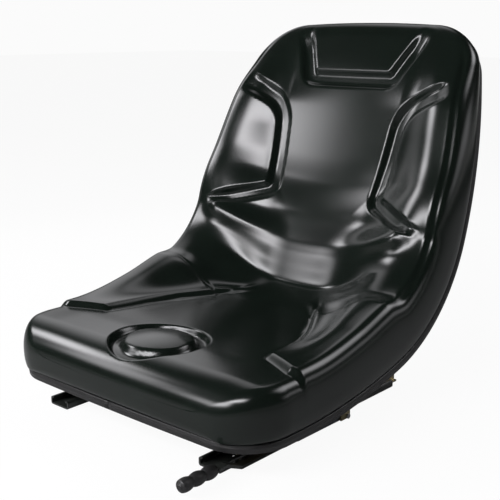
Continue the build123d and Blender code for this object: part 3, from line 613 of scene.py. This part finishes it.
    def half_ring(self, stations, inner=94, roll=22, wall=9):
        """Half sections from the middle line over the crest and down the wall: x and heights."""
        s = stations[:, None]
        width = self.half_width(s)
        crest = np.maximum(width - self.p.roll_width, width / 2)
        low = self.widest(s)
        x_top = crest * np.linspace(0, 1, inner)[None, :]
        smooth = low + (self.top(s, x_top) - low) * self.end_roll(s, x_top)
        t_top = smooth + self.relief(s, x_top) * self.end_roll(s, x_top)
        turn = np.linspace(0, pi / 2, roll + 1)[None, 1:]
        x_roll = crest + (width - crest) * np.sin(turn) ** self.roll_fullness
        fall = np.maximum(np.cos(turn), 0) ** self.roll_fullness
        t_roll = low + (smooth[:, -1:] - low) * fall
        t_roll = t_roll + self.relief(s, x_roll) * fall * self.end_roll(s, x_roll)
        turn = np.linspace(0, pi / 2, wall + 1)[None, 1:]
        x_wall = width - self.o.rim_inset * (1 - np.cos(turn))
        t_wall = low - (low - self.underside(s)) * np.sin(turn)
        x = np.concatenate([x_top, x_roll, x_wall], axis=1)
        t = np.concatenate([t_top, t_roll, t_wall], axis=1)
        return np.maximum(x, 0.0), t

    def rim_route(self):
        """Outline of the bulge from the front middle to the top middle, as (x, station) points."""
        o = self.o
        half_top = o.top_width / 2
        front_drop = o.front_bow * ((self.half - o.front_corner) / self.half) ** 2
        top_drop = o.top_crown * ((half_top - o.top_corner) / half_top) ** 2
        points = []
        for x in np.linspace(0, self.half - o.front_corner, self.edge_steps):
            points.append((x, o.front_bow * (x / self.half) ** 2))
        for turn in np.linspace(0, pi / 2, self.corner_steps)[1:]:
            x = self.half - o.front_corner * (1 - sin(turn))
            points.append((x, front_drop + o.front_corner * (1 - cos(turn))))
        top_start = self.end - top_drop - o.top_corner
        for station in np.linspace(front_drop + o.front_corner, top_start, self.side_steps)[1:]:
            points.append((float(self.side(station)), station))
        for turn in np.linspace(0, pi / 2, self.corner_steps)[1:]:
            station = top_start + o.top_corner * sin(turn)
            points.append((float(self.half_width(min(station, self.end - top_drop))), station))
        for x in np.linspace(half_top - o.top_corner, 0, self.corner_steps)[1:]:
            points.append((x, self.end - o.top_crown * (x / half_top) ** 2))
        return np.array(points)


# Meshes


def add_object(name, data):
    """New object in the scene."""
    item = bpy.data.objects.new(name, data)
    bpy.context.scene.collection.objects.link(item)
    return item


def new_piece(name, points, faces, material):
    """Mesh object with its place in its mesh and its faces turned outwards."""
    mesh = bpy.data.meshes.new(name)
    mesh.from_pydata([tuple(point) for point in points], [], faces)
    work = bmesh.new()
    work.from_mesh(mesh)
    bmesh.ops.recalc_face_normals(work, faces=work.faces)
    work.to_mesh(mesh)
    work.free()
    mesh.polygons.foreach_set("use_smooth", [True] * len(mesh.polygons))
    mesh.materials.append(material)
    return add_object(name, mesh)


def ring_points(radius, z, count):
    """Points of a level ring about the Z axis."""
    turns = [2 * pi * k / count for k in range(count)]
    return [(radius * cos(turn), radius * sin(turn), z) for turn in turns]


def tube_faces(rings, around, closed_ends=True):
    """Faces of a tube made of rings with the same number of points."""
    faces = []
    for i in range(rings - 1):
        for j in range(around):
            k = (j + 1) % around
            faces.append((i * around + j, i * around + k, (i + 1) * around + k, (i + 1) * around + j))
    if closed_ends:
        faces.append(tuple(range(around)))
        faces.append(tuple((rings - 1) * around + j for j in range(around)))
    return faces


def settle(piece, body, node_names):
    """Let a finished piece ride on its body and stand for its solids."""
    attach(piece, body)
    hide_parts(*node_names)


# Finishes


def feed(tree, value, node, socket):
    """Set a socket to a plain value, or link it to another node's output."""
    if isinstance(value, bpy.types.NodeSocket):
        tree.links.new(value, node.inputs[socket])
    else:
        node.inputs[socket].default_value = value


def put(tree, kind, sockets=None, **values):
    """New node with its properties set and its sockets fed."""
    node = tree.nodes.new(kind)
    for key, value in values.items():
        setattr(node, key, value)
    for socket, value in (sockets or {}).items():
        feed(tree, value, node, socket)
    return node


def maths(tree, operation, *parts):
    """Result of a math node fed with outputs or plain numbers."""
    return put(tree, "ShaderNodeMath", dict(enumerate(parts)), operation=operation).outputs[0]


def ramp(tree, value, start, end, low, high, kind="SMOOTHSTEP"):
    """Result of a node that maps start to low and end to high."""
    sockets = {"Value": value, "From Min": start, "From Max": end, "To Min": low, "To Max": high}
    return put(tree, "ShaderNodeMapRange", sockets, interpolation_type=kind).outputs["Result"]


def new_group(name, output, **inputs):
    """Shader node group with float inputs and one output, or the one made before."""
    if name in bpy.data.node_groups:
        return bpy.data.node_groups[name], None, None
    tree = bpy.data.node_groups.new(name, "ShaderNodeTree")
    for label, default in inputs.items():
        socket = tree.interface.new_socket(name=label, in_out="INPUT", socket_type="NodeSocketFloat")
        socket.default_value = default
    tree.interface.new_socket(name=output, in_out="OUTPUT", socket_type="NodeSocketFloat")
    return tree, put(tree, "NodeGroupInput").outputs, put(tree, "NodeGroupOutput")


def noise(tree, where, scale, detail):
    """Value of a noise texture."""
    sockets = {"Vector": where, "Scale": scale, "Detail": detail}
    return put(tree, "ShaderNodeTexNoise", sockets).outputs["Fac"]


def grain_group():
    """Fine moulded grain: pebbles of two sizes, as a height."""
    tree, given, out = new_group("Moulded grain", "Height", Scale=700.0)
    if given is None:
        return tree
    where = put(tree, "ShaderNodeTexCoord").outputs["Object"]
    scale = given["Scale"]
    sockets = {"Vector": where, "Scale": scale, "Smoothness": 0.6}
    pebbles = put(tree, "ShaderNodeTexVoronoi", sockets, feature="SMOOTH_F1")
    fine = noise(tree, where, maths(tree, "MULTIPLY", scale, 2.3), detail=3.0)
    feed(tree, maths(tree, "ADD", pebbles.outputs["Distance"], fine), out, "Height")
    return tree


def mottle_group():
    """Slow uneven patches over a surface, between two values."""
    tree, given, out = new_group("Mottle", "Value", Scale=20.0, Low=0.0, High=1.0)
    if given is None:
        return tree
    where = put(tree, "ShaderNodeTexCoord").outputs["Object"]
    patches = noise(tree, where, given["Scale"], detail=2.0)
    spread = ramp(tree, patches, 0.3, 0.7, given["Low"], given["High"], "LINEAR")
    feed(tree, spread, out, "Value")
    return tree


def brush_group():
    """Fine streaks along the rails, as a height."""
    tree, given, out = new_group("Drawn streaks", "Height", Scale=900.0)
    if given is None:
        return tree
    where = put(tree, "ShaderNodeTexCoord").outputs["Object"]
    stretch = put(tree, "ShaderNodeMapping", {"Vector": where, "Scale": (1.0, 0.03, 1.0)})
    feed(tree, noise(tree, stretch.outputs["Vector"], given["Scale"], detail=4.0), out, "Height")
    return tree


def use_group(tree, group, **sockets):
    """Result of a shared effect placed in a material."""
    return put(tree, "ShaderNodeGroup", sockets, node_tree=group).outputs[0]


def shaded(tint, share):
    """Darker or lighter version of a colour."""
    return tuple(min(part * share, 1.0) for part in tint)


def new_finish(name, tint, dark, light, scale):
    """Material whose tint varies in slow patches between two shares of a colour, and its shader."""
    finish = bpy.data.materials.new(name)
    finish.use_nodes = True
    tree = finish.node_tree
    shader = tree.nodes["Principled BSDF"]
    sockets = {
        "Factor": use_group(tree, mottle_group(), Scale=scale),
        "A": (*shaded(tint, dark), 1.0),
        "B": (*shaded(tint, light), 1.0),
    }
    mix = put(tree, "ShaderNodeMix", sockets, data_type="RGBA")
    feed(tree, mix.outputs["Result"], shader, "Base Color")
    return finish, tree, shader


def uneven_gloss(tree, shader, low, high, scale):
    """Let the roughness vary in slow patches."""
    rough = use_group(tree, mottle_group(), Scale=scale, Low=low, High=high)
    feed(tree, rough, shader, "Roughness")


def bump_from(tree, shader, height, strength, distance):
    """Feed a height to the shader's normal."""
    bump = put(tree, "ShaderNodeBump", {"Height": height, "Strength": strength, "Distance": distance})
    feed(tree, bump.outputs["Normal"], shader, "Normal")


def vinyl_finish():
    """Glossy moulded vinyl with a fine grain."""
    tint = settings("seat_finish").vinyl
    finish, tree, shader = new_finish("moulded_vinyl", tint, dark=0.85, light=1.15, scale=14.0)
    uneven_gloss(tree, shader, low=0.165, high=0.19, scale=12.0)
    grain = use_group(tree, grain_group(), Scale=900.0)
    bump_from(tree, shader, grain, strength=0.04, distance=0.0003)
    feed(tree, 1.46, shader, "IOR")
    return finish


def moulding_finish(name, tint, low, high, scale, strength):
    """Satin plastic or rubber with a moulded grain."""
    finish, tree, shader = new_finish(name, tint, dark=0.8, light=1.25, scale=60.0)
    uneven_gloss(tree, shader, low, high, scale=90.0)
    bump_from(tree, shader, use_group(tree, grain_group(), Scale=scale), strength, distance=0.0003)
    return finish


def paint_finish():
    """Dark paint on pressed steel, with a slight orange peel."""
    tint = settings("seat_finish").paint
    finish, tree, shader = new_finish("dark_paint", tint, dark=0.75, light=1.4, scale=40.0)
    uneven_gloss(tree, shader, low=0.32, high=0.48, scale=25.0)
    peel = use_group(tree, grain_group(), Scale=260.0)
    bump_from(tree, shader, peel, strength=0.12, distance=0.0004)
    feed(tree, 0.3, shader, "Coat Weight")
    feed(tree, 0.25, shader, "Coat Roughness")
    return finish


def plate_finish(name, tint, low, high):
    """Plated steel with drawn streaks and uneven passivation."""
    finish, tree, shader = new_finish(name, tint, dark=0.78, light=1.15, scale=70.0)
    uneven_gloss(tree, shader, low, high, scale=120.0)
    bump_from(tree, shader, use_group(tree, brush_group()), strength=0.15, distance=0.0002)
    feed(tree, 1.0, shader, "Metallic")
    return finish


def dress(finish, *names):
    """Give solids that stay their finish."""
    for name in names:
        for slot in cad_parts[name].material_slots:
            slot.material = finish


# Pieces grown by node trees


def new_growth(name, vectors, floats):
    """Geometry node tree with its inputs and its two end nodes."""
    tree = bpy.data.node_groups.new(name, "GeometryNodeTree")
    tree.is_modifier = True
    add = tree.interface.new_socket
    add(name="Geometry", in_out="OUTPUT", socket_type="NodeSocketGeometry")
    for label in vectors:
        add(name=label, in_out="INPUT", socket_type="NodeSocketVector")
    for label in floats:
        add(name=label, in_out="INPUT", socket_type="NodeSocketFloat")
    return tree, put(tree, "NodeGroupInput").outputs, put(tree, "NodeGroupOutput")


def end_growth(tree, geometry, finish, out):
    """Last steps of a growth: its material and its output."""
    dressed = put(tree, "GeometryNodeSetMaterial", {"Geometry": geometry, "Material": finish})
    feed(tree, dressed.outputs["Geometry"], out, "Geometry")


def grown(name, tree, values):
    """Plain mesh object grown by a node tree with its inputs set."""
    host = add_object(name + "_host", bpy.data.meshes.new(name + "_host"))
    growth = host.modifiers.new("growth", "NODES")
    growth.node_group = tree
    for socket in tree.interface.items_tree:
        if socket.in_out == "INPUT" and socket.name in values:
            growth[socket.identifier] = values[socket.name]
    depsgraph = bpy.context.evaluated_depsgraph_get()
    mesh = bpy.data.meshes.new_from_object(host.evaluated_get(depsgraph), depsgraph=depsgraph)
    bpy.data.objects.remove(host)
    mesh.name = name
    if not mesh.polygons:
        raise RuntimeError(name + " came out empty")
    return add_object(name, mesh)


# Operators, one for each piece or group of like pieces


class SEAT_OT_cushion(bpy.types.Operator):
    """Make the moulded cushion with its grooves, bolsters and button."""

    bl_idname = "seat.cushion"
    bl_label = "Cushion"

    def execute(self, context):
        form = SeatForm()
        stations = form.stations()
        x, height = form.half_ring(stations)
        right = form.place(x, np.broadcast_to(stations[:, None], x.shape), height)
        left = right[:, 1:, :] * np.array([-1.0, 1.0, 1.0])
        rings = np.concatenate([left[:, ::-1, :], right], axis=1)
        faces = tube_faces(rings.shape[0], rings.shape[1])
        cushion = new_piece("cushion_skin", rings.reshape(-1, 3), faces, vinyl_finish())
        settle(cushion, "seat", ["seat_cushion"])
        return {"FINISHED"}


class SEAT_OT_trim(bpy.types.Operator):
    """Make the edge trim: a rounded strip with a bead along it, open at its butt joint."""

    bl_idname = "seat.trim"
    bl_label = "Edge trim"

    joint_x = -0.012
    joint_gap = 0.0008

    def profile(self):
        """Section of the strip as (outwards, height) points."""
        return [
            (0.0003, 0.0112),
            (0.0012, 0.0115),
            (0.0022, 0.0112),
            (0.0027, 0.0104),
            (0.0028, 0.0084),
            (0.0033, 0.0077),
            (0.0035, 0.0066),
            (0.0033, 0.0055),
            (0.0028, 0.0048),
            (0.0028, 0.0016),
            (0.0023, 0.0005),
            (0.0012, 0.0),
            (-0.0028, 0.0),
            (-0.0038, 0.0004),
            (-0.0043, 0.0014),
            (-0.0043, 0.0074),
            (-0.0038, 0.0080),
            (-0.0023, 0.0080),
            (-0.0018, 0.0074),
            (-0.0018, 0.0025),
            (0.0003, 0.0025),
        ]

    def execute(self, context):
        form = SeatForm()
        half = form.rim_route()
        mirrored = half[::-1] * np.array([-1.0, 1.0])
        loop = np.concatenate([half, mirrored[1:-1]])
        ahead = np.roll(loop, -1, axis=0) - np.roll(loop, 1, axis=0)
        outward = np.stack([ahead[:, 1], -ahead[:, 0]], axis=1)
        outward /= np.linalg.norm(outward, axis=1)[:, None]
        front = loop[:, 1] < form.o.front_corner
        before = np.where(front & (loop[:, 0] < self.joint_x))[0]
        nearest = int(before[np.argmin(np.abs(loop[before, 0] - self.joint_x))])
        order = list(range(nearest + 1, len(loop))) + list(range(nearest + 1))
        rings = []
        for index, k in enumerate(order):
            x, station = loop[k]
            if index == 0:
                x = self.joint_x + self.joint_gap / 2
            if index == len(order) - 1:
                x = self.joint_x - self.joint_gap / 2
            rim = np.array([x, station]) - outward[k] * form.o.rim_inset
            for out, height in self.profile():
                spot = rim + outward[k] * out
                rings.append(form.place(spot[0], spot[1], height))
        faces = tube_faces(len(order), len(self.profile()))
        tint = settings("seat_finish").trim
        finish = moulding_finish("trim_strip", tint, low=0.34, high=0.46, scale=900.0, strength=0.10)
        trim = new_piece("trim_strip", rings, faces, finish)
        settle(trim, "seat", ["edge_trim"])
        return {"FINISHED"}


class SEAT_OT_grip(bpy.types.Operator):
    """Make the finger grip: a radius that swells once for each finger along the lever's tongue."""

    bl_idname = "seat.grip"
    bl_label = "Lever grip"

    rings = 97
    around = 48
    fullness = 0.8
    tip_start = 0.94
    tip_share = 0.45

    def tree(self, finish):
        """Node tree that runs a swelling tube between two ends."""
        tree, given, out = new_growth("Finger grip", ("Start", "End"), ("Radius", "Neck", "Waves"))
        ends = {"Start": given["Start"], "End": given["End"]}
        line = put(tree, "GeometryNodeCurvePrimitiveLine", ends)
        fine = {"Curve": line.outputs["Curve"], "Count": self.rings}
        many = put(tree, "GeometryNodeResampleCurve", fine)
        section = {"Resolution": self.around, "Radius": 1.0}
        ring = put(tree, "GeometryNodeCurvePrimitiveCircle", section, mode="RADIUS")
        place = put(tree, "GeometryNodeSplineParameter").outputs["Factor"]
        tip = ramp(tree, place, 1.0, self.tip_start, self.tip_share, 1.0)
        sockets = {
            "Curve": many.outputs["Curve"],
            "Profile Curve": ring.outputs["Curve"],
            "Scale": maths(tree, "MULTIPLY", self.swell(tree, given, place), tip),
            "Fill Caps": True,
        }
        tube = put(tree, "GeometryNodeCurveToMesh", sockets)
        smooth = put(tree, "GeometryNodeSetShadeSmooth", {"Geometry": tube.outputs["Mesh"]})
        end_growth(tree, smooth.outputs["Geometry"], finish, out)
        return tree

    def swell(self, tree, given, place):
        """Radius between neck and crest, one wave for each finger."""
        turn = maths(tree, "MULTIPLY", maths(tree, "MULTIPLY", place, given["Waves"]), pi)
        height = maths(tree, "ABSOLUTE", maths(tree, "SINE", turn))
        full = maths(tree, "POWER", height, self.fullness)
        return ramp(tree, full, 0.0, 1.0, given["Neck"], given["Radius"], "LINEAR")

    def execute(self, context):
        grip = settings("seat_grip")
        low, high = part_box("lever_grip")
        x = (low[0] + high[0]) / 2
        z = (low[2] + high[2]) / 2
        tint = settings("seat_finish").grip
        finish = moulding_finish("grip_moulding", tint, low=0.36, high=0.5, scale=800.0, strength=0.15)
        values = {
            "Start": (x, grip.rear_y, z),
            "End": (x, grip.front_y, z),
            "Radius": grip.radius,
            "Neck": grip.neck,
            "Waves": float(grip.waves),
        }
        piece = grown("finger_grip", self.tree(finish), values)
        settle(piece, "lever", ["lever_grip"])
        return {"FINISHED"}


class SEAT_OT_nuts(bpy.types.Operator):
    """Make the nuts and threaded studs under the pan, one pair at each stud."""

    bl_idname = "seat.nuts"
    bl_label = "Nuts and studs"

    rails = ("Left rail", "Right rail")
    rows = ("Front row", "Rear row")
    corners = 6
    corner_share = 0.9
    chamfer = 0.0009
    bore_gap = 0.0001
    stud_sides = 20
    thread_depth = 0.0006

    def corner_reach(self):
        """Distance of a nut's corners from its middle."""
        return settings("seat_nuts").flats / 3**0.5

    def places(self):
        """Where the studs stand, read from the nuts' box: two rows on two rails."""
        low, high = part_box("rail_nuts")
        reach_x = self.corner_reach()
        reach_y = settings("seat_nuts").flats / 2
        return {
            "Left rail": high[0] - reach_x,
            "Right rail": low[0] + reach_x,
            "Front row": low[1] + reach_y,
            "Rear row": high[1] - reach_y,
        }

    def nut(self, finish):
        """One chamfered hexagon nut about the Z axis, at its true height."""
        low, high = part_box("rail_nuts")
        reach = self.corner_reach()
        bore = settings("seat_nuts").stud + self.bore_gap
        levels = [
            (reach * self.corner_share, low[2]),
            (reach, low[2] + self.chamfer),
            (reach, high[2] - self.chamfer),
            (reach * self.corner_share, high[2]),
            (bore, high[2]),
            (bore, low[2]),
        ]
        points = []
        for radius, z in levels:
            points += ring_points(radius, z, self.corners)
        faces = tube_faces(len(levels), self.corners, closed_ends=False)
        last = len(points) - self.corners
        for j in range(self.corners):
            k = (j + 1) % self.corners
            faces.append((last + j, last + k, k, j))
        piece = new_piece("nut_shape", points, faces, finish)
        piece.data.polygons.foreach_set("use_smooth", [False] * len(faces))
        return piece

    def stud(self, finish):
        """One threaded stud about the Z axis, at its true height."""
        low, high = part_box("pan_studs")
        sizes = settings("seat_nuts")
        steps = 2 * int((high[2] - low[2]) / sizes.thread)
        points = []
        for step in range(steps + 1):
            z = low[2] + (high[2] - low[2]) * step / steps
            radius = sizes.stud if step % 2 else sizes.stud - self.thread_depth
            points += ring_points(radius, z, self.stud_sides)
        return new_piece("stud_shape", points, tube_faces(steps + 1, self.stud_sides), finish)

    def tree(self, shape, finish):
        """Node tree that sets one shape at every stud."""
        tree, given, out = new_growth("At studs", (), (*self.rails, *self.rows))
        joined = put(tree, "GeometryNodeJoinGeometry")
        for rail in self.rails:
            for row in self.rows:
                spot = put(tree, "ShaderNodeCombineXYZ", {"X": given[rail], "Y": given[row]})
                stand = {"Count": 1, "Position": spot.outputs["Vector"]}
                point = put(tree, "GeometryNodePoints", stand)
                feed(tree, point.outputs["Geometry"], joined, "Geometry")
        source = put(tree, "GeometryNodeObjectInfo", {"Object": shape})
        sockets = {"Points": joined.outputs["Geometry"], "Instance": source.outputs["Geometry"]}
        copies = put(tree, "GeometryNodeInstanceOnPoints", sockets)
        whole = put(tree, "GeometryNodeRealizeInstances", {"Geometry": copies.outputs["Instances"]})
        end_growth(tree, whole.outputs["Geometry"], finish, out)
        return tree

    def execute(self, context):
        places = self.places()
        finish = plate_finish("fastener_plate", settings("seat_finish").zinc_clear, low=0.28, high=0.42)
        for name, shape, node_name in (
            ("hexagon_nuts", self.nut(finish), "rail_nuts"),
            ("threaded_studs", self.stud(finish), "pan_studs"),
        ):
            piece = grown(name, self.tree(shape, finish), places)
            bpy.data.objects.remove(shape)
            settle(piece, "seat", [node_name])
        dress(finish, "rail_washers", "travel_stops", "stop_pins", "bracket_rivets")
        dress(finish, "lever_pivot", "latch_tooth", "spring_screw")
        return {"FINISHED"}


class SEAT_OT_metalwork(bpy.types.Operator):
    """Finish the pan, rails, lever, bracket, spring and glide shoes."""

    bl_idname = "seat.metalwork"
    bl_label = "Pan, rails and lever"

    def execute(self, context):
        tints = settings("seat_finish")
        dress(paint_finish(), "seat_pan", "lower_rail_left", "lower_rail_right", "release_lever")
        plate = plate_finish("yellow_plate", tints.zinc_yellow, low=0.3, high=0.46)
        dress(plate, "upper_rail_left", "upper_rail_right", "lever_bracket")
        spring = plate_finish("spring_steel", tints.spring, low=0.24, high=0.38)
        dress(spring, "return_spring", "pivot_clip")
        nylon = moulding_finish("glide_nylon", tints.nylon, low=0.42, high=0.55, scale=500.0, strength=0.08)
        dress(nylon, "glide_shoes")
        return {"FINISHED"}


class SEAT_OT_stage(bpy.types.Operator):
    """Set up the pale floor, the soft studio light and the camera."""

    bl_idname = "seat.stage"
    bl_label = "Studio"

    target = Vector((-0.0066, 0.061, 0.205))
    bearing = 41.4
    elevation = 13.4
    distance = 1.3706
    lens = 67.8
    sensor = 36.0

    floor_reach = 14.0
    floor_glow = 0.94
    mirrored_glow = 0.04
    mirrored_share = 0.6

    sky_glow = 0.965
    band_height = 0.10
    band_glow = 0.5
    dark_glow = 0.02

    light_target = Vector((0.0, 0.12, 0.32))
    light_margin = 1.35
    light_core = 0.2
    light_tint = (0.98, 0.97, 1.0)

    def away(self, bearing, height):
        """Direction from the seat, by a bearing off the front and a height, both in degrees."""
        turn = radians(bearing)
        rise = radians(height)
        return Vector((sin(turn) * cos(rise), -cos(turn) * cos(rise), sin(rise)))

    def floor(self):
        """Pale floor that keeps the shadow and is darker in reflections."""
        tint = settings("seat_finish").floor
        finish, tree, shader = new_finish("studio_floor", tint, dark=0.99, light=1.0, scale=1.5)
        feed(tree, 0.9, shader, "Roughness")
        feed(tree, 0.1, shader, "Specular IOR Level")
        ray = put(tree, "ShaderNodeLightPath").outputs
        seen = ray["Is Camera Ray"]
        mirrored = maths(tree, "MAXIMUM", ray["Is Glossy Ray"], ray["Is Transmission Ray"])
        strength = maths(tree, "MAXIMUM", seen, self.mirrored_glow)
        glow = put(tree, "ShaderNodeEmission", {"Strength": strength})
        direct = maths(tree, "MULTIPLY", seen, self.floor_glow)
        share = maths(tree, "ADD", direct, maths(tree, "MULTIPLY", mirrored, self.mirrored_share))
        sockets = {"Fac": share, 1: shader.outputs["BSDF"], 2: glow.outputs["Emission"]}
        mix = put(tree, "ShaderNodeMixShader", sockets)
        feed(tree, mix.outputs["Shader"], tree.nodes["Material Output"], "Surface")
        reach = self.floor_reach
        corners = [(-reach, -reach, 0), (reach, -reach, 0), (reach, reach, 0), (-reach, reach, 0)]
        floor = new_piece("studio_floor", corners, [(0, 1, 2, 3)], finish)

    def world(self):
        """Dark studio with a pale band along the horizon."""
        world = bpy.data.worlds.new("studio")
        bpy.context.scene.world = world
        world.use_nodes = True
        tree = world.node_tree
        where = put(tree, "ShaderNodeTexCoord").outputs["Generated"]
        height = put(tree, "ShaderNodeSeparateXYZ", {"Vector": where}).outputs["Z"]
        fade = ramp(tree, height, 0.0, self.band_height, self.band_glow, self.dark_glow)
        ray = put(tree, "ShaderNodeLightPath").outputs
        seen = maths(tree, "MULTIPLY", ray["Is Camera Ray"], self.sky_glow)
        feed(tree, maths(tree, "MAXIMUM", fade, seen), tree.nodes["Background"], "Color")

    def soft_edges(self, data):
        """Let a lamp's glow fall off towards its edges, as behind a diffuser."""
        data.use_nodes = True
        tree = data.node_tree
        place = put(tree, "ShaderNodeNewGeometry").outputs["Parametric"]
        split = put(tree, "ShaderNodeSeparateXYZ", {"Vector": place}).outputs
        falls = []
        for axis in ("X", "Y"):
            off_middle = maths(tree, "ABSOLUTE", maths(tree, "SUBTRACT", split[axis], 0.5))
            falls.append(ramp(tree, off_middle, 0.5 * self.light_core, 0.5, 1.0, 0.0))
        feed(tree, maths(tree, "MULTIPLY", *falls), tree.nodes["Emission"], "Strength")

    def softbox(self, name, bearing, height, distance, size, glow):
        """Soft light that faces the seat."""
        data = bpy.data.lights.new(name, "AREA")
        data.shape = "RECTANGLE"
        data.size = size[0] * self.light_margin
        data.size_y = size[1] * self.light_margin
        data.energy = glow * pi * data.size * data.size_y
        data.color = self.light_tint
        self.soft_edges(data)
        away = self.away(bearing, height)
        lamp = add_object(name, data)
        lamp.location = self.light_target + away * distance
        lamp.rotation_euler = away.to_track_quat("Z", "Y").to_euler()
        lamp.visible_camera = False

    def camera(self):
        """Camera at the photograph's place."""
        data = bpy.data.cameras.new("camera")
        data.lens = self.lens
        data.sensor_width = self.sensor
        away = self.away(self.bearing, self.elevation)
        camera = add_object("camera", data)
        camera.location = self.target + away * self.distance
        camera.rotation_euler = (-away).to_track_quat("-Z", "Y").to_euler()
        bpy.context.scene.camera = camera

    def execute(self, context):
        context.scene.view_settings.view_transform = "Standard"
        self.world()
        self.floor()
        self.camera()
        self.softbox("front", bearing=-19, height=24, distance=2.5, size=(1.60, 0.56), glow=16)
        self.softbox("front right", bearing=6, height=34, distance=2.5, size=(1.90, 0.46), glow=22)
        self.softbox("near", bearing=-39.5, height=11.5, distance=0.95, size=(0.27, 0.31), glow=6.4)
        self.softbox("side", bearing=-66, height=30, distance=2.5, size=(0.80, 0.62), glow=13)
        self.softbox("left", bearing=-111, height=24, distance=1.2, size=(1.12, 0.9), glow=1.4)
        self.softbox("rear left", bearing=-140, height=55, distance=1.5, size=(0.8, 0.6), glow=1.6)
        self.softbox("rear right", bearing=140, height=38, distance=2.5, size=(1.6, 1.0), glow=5)
        self.softbox("low right", bearing=128, height=9, distance=2.5, size=(1.5, 0.42), glow=1.5)
        return {"FINISHED"}


class SEAT_PT_panel(bpy.types.Panel):
    """Lists the seat's steps and sizes."""

    bl_idname = "SEAT_PT_panel"
    bl_label = "Pan seat"
    bl_space_type = "VIEW_3D"
    bl_region_type = "UI"
    bl_category = "Pan seat"

    def draw(self, context):
        for operator in OPERATORS:
            self.layout.operator(operator.bl_idname)
        for name, group in GROUPS.items():
            box = self.layout.box()
            values = settings(name)
            for key in group.__annotations__:
                box.prop(values, key)


OPERATORS = (SEAT_OT_cushion, SEAT_OT_trim, SEAT_OT_grip, SEAT_OT_nuts, SEAT_OT_metalwork, SEAT_OT_stage)


def register():
    """Add the property groups, operators and panel."""
    for name, group in GROUPS.items():
        bpy.utils.register_class(group)
        setattr(bpy.types.Scene, name, PointerProperty(type=group))
    for item in (*OPERATORS, SEAT_PT_panel):
        bpy.utils.register_class(item)


def unregister():
    """Remove the panel, operators and property groups."""
    for item in (SEAT_PT_panel, *reversed(OPERATORS)):
        bpy.utils.unregister_class(item)
    for name, group in reversed(GROUPS.items()):
        delattr(bpy.types.Scene, name)
        bpy.utils.unregister_class(group)


def main():
    """Make every piece."""
    register()
    bpy.ops.seat.cushion()
    bpy.ops.seat.trim()
    bpy.ops.seat.grip()
    bpy.ops.seat.nuts()
    bpy.ops.seat.metalwork()
    bpy.ops.seat.stage()


if __name__ == "__main__":
    main()
